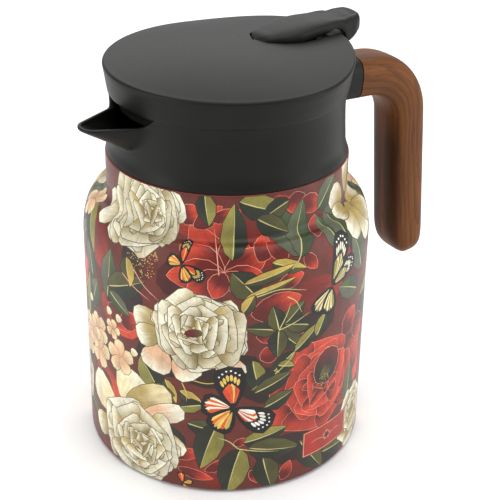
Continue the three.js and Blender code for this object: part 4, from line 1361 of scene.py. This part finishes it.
def lever_section(x, count=72):
    """A rounded section of the lever's blade, with the thumb's dish on top."""
    half = lever_half_width(x)
    top = min(lever_top(x), LEVER_HIGH.z)
    bottom = lever_bottom(x)
    middle = bottom + (top - bottom) * 0.45
    dish = 1.1 * MM * float(smoothstep(x, 44 * MM, 54 * MM) * (1 - smoothstep(x, 60 * MM, 65.5 * MM)))
    ring = []
    for angle in np.linspace(0, 2 * math.pi, count, endpoint=False):
        boxiness = 0.66 if math.sin(angle) > 0 else 0.5
        height = signed_power(math.sin(angle), boxiness)
        side = signed_power(math.cos(angle), boxiness)
        z = middle + height * ((top - middle) if height > 0 else (middle - bottom))
        if height > 0:
            z -= dish * float(1 - smoothstep(abs(side), 0.5, 0.86)) * height
        ring.append((x, half * side, z))
    return ring


def thumb_lever(finish):
    """The lever's blade, its web down to the pin, and the forked arm that lifts the stem."""
    web_long, web_half = 5.5 * MM, 4.6 * MM
    arm_half, arm_top = 4.2 * MM, 171.5 * MM
    fork_half, fork_end = 2 * MM, 2.7 * MM
    pin_hole_r, pin_half = 1.55 * MM, 9 * MM
    past = 1 * MM  # a tool reaches this far past the piece it cuts
    stations = LEVER_FRONT + (LEVER_BACK - LEVER_FRONT) * (1 - np.cos(np.linspace(0, math.pi, 110))) / 2
    blade = make_object("lever_blade", *capped([lever_section(x) for x in stations]), finish, 50)
    web = block("web", (PIVOT_X - web_long, -web_half, PIVOT_Z - 3.4 * MM),
                (PIVOT_X + web_long, web_half, POCKET_FLOOR + 5 * MM), finish)
    arm = block("arm", (LEVER_LOW.x, -arm_half, LEVER_LOW.z), (PIVOT_X - 2 * MM, arm_half, arm_top), finish)
    fork = block("fork", (-5 * MM, -fork_half, LEVER_LOW.z - past),
                 (fork_end, fork_half, arm_top + past), finish)
    hole = bar("hole", pin_hole_r, (PIVOT_X, -pin_half, PIVOT_Z), (PIVOT_X, pin_half, PIVOT_Z), finish)
    combine(blade, web, "UNION")
    combine(blade, arm, "UNION")
    combine(blade, fork, "DIFFERENCE")
    combine(blade, hole, "DIFFERENCE")
    return belongs(blade, "lever", "black_plastic", "thumb_lever")


# ---------------------------------------------------------------- handle

def arm_point(x):
    """A point of the arm's centre line, in the XZ plane."""
    return np.array([x, ARM_Z - (x - ARM_X) * math.tan(ARM_DROOP)])


def handle_line(start_x):
    """Stations along the handle's centre line, in the XZ plane.

    Each is (length so far, point, direction, length left to the end). The last is None before the grip.
    """
    arm_way = np.array([math.cos(ARM_DROOP), -math.sin(ARM_DROOP)])
    grip_way = np.array([math.sin(GRIP_LEAN), -math.cos(GRIP_LEAN)])
    between = np.array([GRIP_X, GRIP_Z]) - np.array([ARM_X, ARM_Z])
    cross = arm_way[0] * grip_way[1] - arm_way[1] * grip_way[0]
    arm_length = (between[0] * grip_way[1] - between[1] * grip_way[0]) / cross
    corner = np.array([ARM_X, ARM_Z]) + arm_way * arm_length
    turn = math.acos(float(arm_way @ grip_way))
    tangent = BEND_R * math.tan(turn / 2)
    bend_start = corner - arm_way * tangent
    bend_end = corner + grip_way * tangent
    centre = bend_start + np.array([arm_way[1], -arm_way[0]]) * BEND_R
    start = arm_point(start_x)
    stations = []
    for share in np.linspace(0, 1, 10)[:-1]:
        stations.append((start + (bend_start - start) * share, arm_way, None))
    for angle in np.linspace(0, turn, 36)[:-1]:
        turned = np.array([[math.cos(angle), math.sin(angle)], [-math.sin(angle), math.cos(angle)]])
        stations.append((centre + turned @ (bend_start - centre), turned @ arm_way, None))
    grip_length = (bend_end[1] - HANDLE_END_Z) / -grip_way[1]
    end = bend_end + grip_way * grip_length
    rounded = [left * MM for left in (18, 16, 14, 12, 10, 8, 6.5, 5, 4, 3, 2.2, 1.5, 0.9, 0.5, 0.2)]
    for left in [*np.linspace(grip_length, 20 * MM, 24), *rounded]:
        stations.append((end - grip_way * left, grip_way, left))
    measured = []
    length = 0.0
    last = start
    for point, way, left in stations:
        length += float(np.linalg.norm(point - last))
        last = point
        measured.append((length, point, way, left))
    return measured


def handle_section(point, way, outer, inner, width, count=72):
    """A rounded section across the handle."""
    squareness = 2 / 3.2
    out_way = (-way[1], way[0])
    ring = []
    for angle in np.linspace(0, 2 * math.pi, count, endpoint=False):
        depth = signed_power(math.cos(angle), squareness) * (outer if math.cos(angle) > 0 else inner)
        across = signed_power(math.sin(angle), squareness) * width
        ring.append((point[0] + out_way[0] * depth, across, point[1] + out_way[1] * depth))
    return ring


def grain_places(mesh, line):
    """For each point of the mesh: its place along, out from and across the handle's centre line."""
    points = np.array([v.co for v in mesh.vertices])
    lengths = np.array([length for length, *_ in line])
    middles = np.array([point for _, point, _, _ in line])
    ways = np.array([way for _, _, way, _ in line])
    flat = points[:, [0, 2]]
    nearest = np.argmin(np.linalg.norm(flat[:, None] - middles[None], axis=2), axis=1)
    offset = flat - middles[nearest]
    way = ways[nearest]
    along = lengths[nearest] + np.sum(offset * way, axis=1)
    out = offset[:, 1] * way[:, 0] - offset[:, 0] * way[:, 1]
    return np.stack([along, out, points[:, 1]], 1)


def end_rounding(left, span):
    """Grows from 0 to 1 over a span from the end, like a quarter of a circle."""
    return math.sqrt(1 - max(0, 1 - left / span) ** 2)


def tenon_bore(start_x, end_x, finish):
    """The round hole for the tenon, along the arm."""
    start, end = (tuple(np.insert(arm_point(x), 1, 0)) for x in (start_x, end_x))
    return bar("bore", 5.3 * MM, start, end, finish)


def wood_handle(finish):
    """The walnut handle: the arm, the bend and the grip with its rounded free end."""
    tip = 0.25  # the end's lowest point, as a share of the way from the middle to the outer side
    line = handle_line(FERRULE_HIGH.x + GAP)
    rows = []
    for _, point, way, left in line:
        outer = inner = HANDLE_DEPTH
        width = HANDLE_WIDTH
        if left is not None:
            outer = HANDLE_DEPTH * (tip + (1 - tip) * end_rounding(left, 15 * MM))
            inner = HANDLE_DEPTH * ((1 + tip) * end_rounding(left, 19 * MM) - tip)
            width = HANDLE_WIDTH * end_rounding(left, 9 * MM)
        rows.append(handle_section(point, way, outer, inner, width))
    made = make_object("walnut_handle", *capped(rows), finish, 50)
    combine(made, tenon_bore(61.7 * MM, 84.3 * MM, finish), "DIFFERENCE", 50)
    layer = made.data.attributes.new("grain", "FLOAT_VECTOR", "POINT")
    layer.data.foreach_set("vector", grain_places(made.data, line).astype(np.float32).reshape(-1))
    return belongs(made, "jug", "walnut", "wood_handle")


def handle_ferrule(finish):
    """The black socket between the collar and the wood, hollowed to the collar's shape."""
    way = np.array([math.cos(ARM_DROOP), -math.sin(ARM_DROOP)])
    edge = 0.3 * MM
    rows = [
        handle_section(arm_point(x), way, HANDLE_DEPTH - shrink, HANDLE_DEPTH - shrink, HANDLE_WIDTH - shrink)
        for x, shrink in ((44 * MM, 0), (54 * MM, 0), (FERRULE_HIGH.x - edge, 0), (FERRULE_HIGH.x, edge))
    ]
    made = make_object("handle_socket", *capped(rows), finish, 35)
    radius = collar_radius()
    beside_lid = LID_SKIRT_R + 1.3 * MM
    profile = [(0, COLLAR_LOW.z)] + [(radius(z) + GAP, z) for z in np.linspace(COLLAR_LOW.z, COLLAR_TOP, 24)]
    profile += [(beside_lid, COLLAR_TOP), (beside_lid, LID_RIM_Z), (0, LID_RIM_Z)]
    combine(made, lathe("neighbour", profile, finish, 192), "DIFFERENCE")
    combine(made, tenon_bore(52 * MM, 66 * MM, finish), "DIFFERENCE")
    return belongs(made, "jug", "black_plastic", "handle_ferrule")


# ---------------------------------------------------------------- small round pieces

def ring_profile(inner, outer, low, high, edge=0.2 * MM):
    """A ring's section with small chamfers."""
    return [(inner + edge, low), (outer - edge, low), (outer, low + edge), (outer, high - edge),
            (outer - edge, high), (inner + edge, high), (inner, high - edge), (inner, low + edge)]


def round_pieces(plastic, silicone, rubber, bright_steel):
    """The pieces that are turned round the axis."""
    low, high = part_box("neck_ring")
    spacer = ring_profile(44.7 * MM, high.y, low.z, high.z)
    belongs(lathe("neck_spacer", spacer, plastic, 128), "jug", "black_plastic", "neck_ring")

    low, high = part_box("mouth_seal")
    seal = ring_profile(43 * MM, high.y, low.z, high.z)
    belongs(lathe("mouth_seal_ring", seal, silicone, 128), "jug", "silicone", "mouth_seal")

    low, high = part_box("base_pad")
    edge = 0.5 * MM
    pad = [(0, low.z), *arc(high.y - edge, edge, edge, edge, -90, 0, 5), (high.y, high.z), (0, high.z)]
    belongs(lathe("rubber_pad", pad, rubber, 144), "jug", "rubber_pad", "base_pad")

    low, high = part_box("base_plate")
    dish_r, slope_r = 12 * MM, 14 * MM
    dish_z = 3.6 * MM
    dish_top, rim_top = dish_z + SHELL_WALL, low.z + SHELL_WALL
    plate = [
        (0, dish_z), (dish_r, dish_z), (slope_r, low.z), (high.y, low.z),
        (high.y, rim_top), (slope_r, rim_top), (dish_r, dish_top), (0, dish_top),
    ]
    belongs(lathe("bottom_plate", plate, bright_steel, 144), "jug", "steel", "base_plate")

    inner = 40 * MM
    lip = MOUTH_R - GAP
    fins = [
        (inner, 136.3 * MM), (lip - 0.4 * MM, 136.8 * MM), (lip, 137.1 * MM), (lip - 0.5 * MM, 138.3 * MM),
        (lip, 139.4 * MM), (lip - 0.3 * MM, 139.7 * MM), (inner, 140.3 * MM),
    ]
    belongs(lathe("stopper_seal", fins, silicone, 128), "lid", "silicone", "stopper_gasket")


def finish_cad_nodes(plastic, silicone, bright_steel):
    """The pieces that keep their CAD mesh: hidden until the lid is off."""
    steel_nodes = (
        "vacuum_seal_cap", "handle_tenon", "handle_screw", "lever_pin", "valve_spring", "lid_screw_1",
        "lid_screw_2", "lid_screw_3", "valve_stem",
    )
    plastic_nodes = ("lid_plate", "stopper_cup", "valve_disc")
    for finish, names in ((bright_steel, steel_nodes), (plastic, plastic_nodes), (silicone, ("valve_seal",))):
        for name in names:
            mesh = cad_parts[name].data
            mesh.materials.clear()
            mesh.materials.append(finish)
            mesh.polygons.foreach_set("use_smooth", [True] * len(mesh.polygons))
            mesh.set_sharp_from_angle(angle=math.radians(35))


# ---------------------------------------------------------------- set, light and camera

def area_light(name, place, target, width, height, power):
    """A rectangular lamp that faces a point."""
    data = bpy.data.lights.new(name, "AREA")
    data.shape = "RECTANGLE"
    data.size = width
    data.size_y = height
    data.energy = power
    lamp = bpy.data.objects.new(name, data)
    lamp.location = place
    lamp.rotation_euler = (Vector(target) - Vector(place)).to_track_quat("-Z", "Y").to_euler()
    bpy.context.scene.collection.objects.link(lamp)


def studio():
    """A pale floor under a white sky, with soft lamps above, behind and on both sides."""
    scene = bpy.context.scene
    world = bpy.data.worlds.new("studio")
    world.use_nodes = True
    background = world.node_tree.nodes["Background"]
    background.inputs["Color"].default_value = (1, 1, 1, 1)
    background.inputs["Strength"].default_value = 0.66
    scene.world = world
    finish = Finish("pale_floor", Base_Color=(0.93, 0.93, 0.93), Roughness=0.9, Specular_IOR_Level=0.0)
    far = 30
    corners = [(-far, -far, 0), (far, -far, 0), (far, far, 0), (-far, far, 0)]
    mesh = bpy.data.meshes.new("floor")
    mesh.from_pydata(corners, [], [(0, 1, 2, 3)])
    mesh.materials.append(finish.material)
    floor = bpy.data.objects.new("floor", mesh)
    scene.collection.objects.link(floor)
    middle = (0, 0, 0.09)
    area_light("key_above", (0.1, -0.1, 1.4), middle, 1.6, 1.6, 14)
    area_light("back_above", (0.6, 0.9, 0.9), middle, 1.4, 0.8, 5)
    area_light("left_strip", (-1.1, 0.1, 0.35), middle, 0.5, 1.0, 5)
    area_light("right_strip", (0.75, -0.75, 0.4), middle, 0.5, 1.0, 4)
    scene.view_settings.view_transform = "Standard"


def camera():
    """The photograph's view: a long lens from the spout's side, looking down."""
    data = bpy.data.cameras.new("photo")
    data.lens = 89.3  # millimetres, as is the sensor
    data.sensor_width = 36
    made = bpy.data.objects.new("photo", data)
    turn = math.radians(-33.5)  # from square to the handle towards the spout
    pitch, pan, roll = math.radians(27.86), math.radians(1.25), math.radians(1.19)
    forward = Vector((math.sin(pan) * math.cos(pitch), math.cos(pan) * math.cos(pitch), -math.sin(pitch)))
    right = Vector((math.cos(pan), -math.sin(pan), 0))
    up = right.cross(forward)
    rolled_right = right * math.cos(roll) + up * math.sin(roll)
    rolled_up = up * math.cos(roll) - right * math.sin(roll)
    place = Vector((0, -7.8171, 5.5129)) * BODY_R  # before the turn
    axes = Matrix((rolled_right, rolled_up, -forward)).transposed()
    swing = Matrix.Rotation(turn, 3, "Z")
    made.matrix_world = Matrix.Translation(swing @ place) @ (swing @ axes).to_4x4()
    bpy.context.scene.collection.objects.link(made)
    bpy.context.scene.camera = made


# ---------------------------------------------------------------- assembly

plastic = black_plastic()
bright_steel = steel("bright_steel", colour(205, 205, 208))
silicone = soft_plastic("clear_silicone", colour(214, 212, 204), 0.5)
rubber = soft_plastic("dark_rubber", colour(34, 34, 35), 0.75)

outer_shell(printed_shell(), bright_steel)
inner_flask(bright_steel)
collar(plastic)
handle_ferrule(plastic)
wood_handle(walnut())
lid_cover(plastic)
thumb_lever(plastic)
round_pieces(plastic, silicone, rubber, bright_steel)
finish_cad_nodes(plastic, silicone, bright_steel)
studio()
camera()
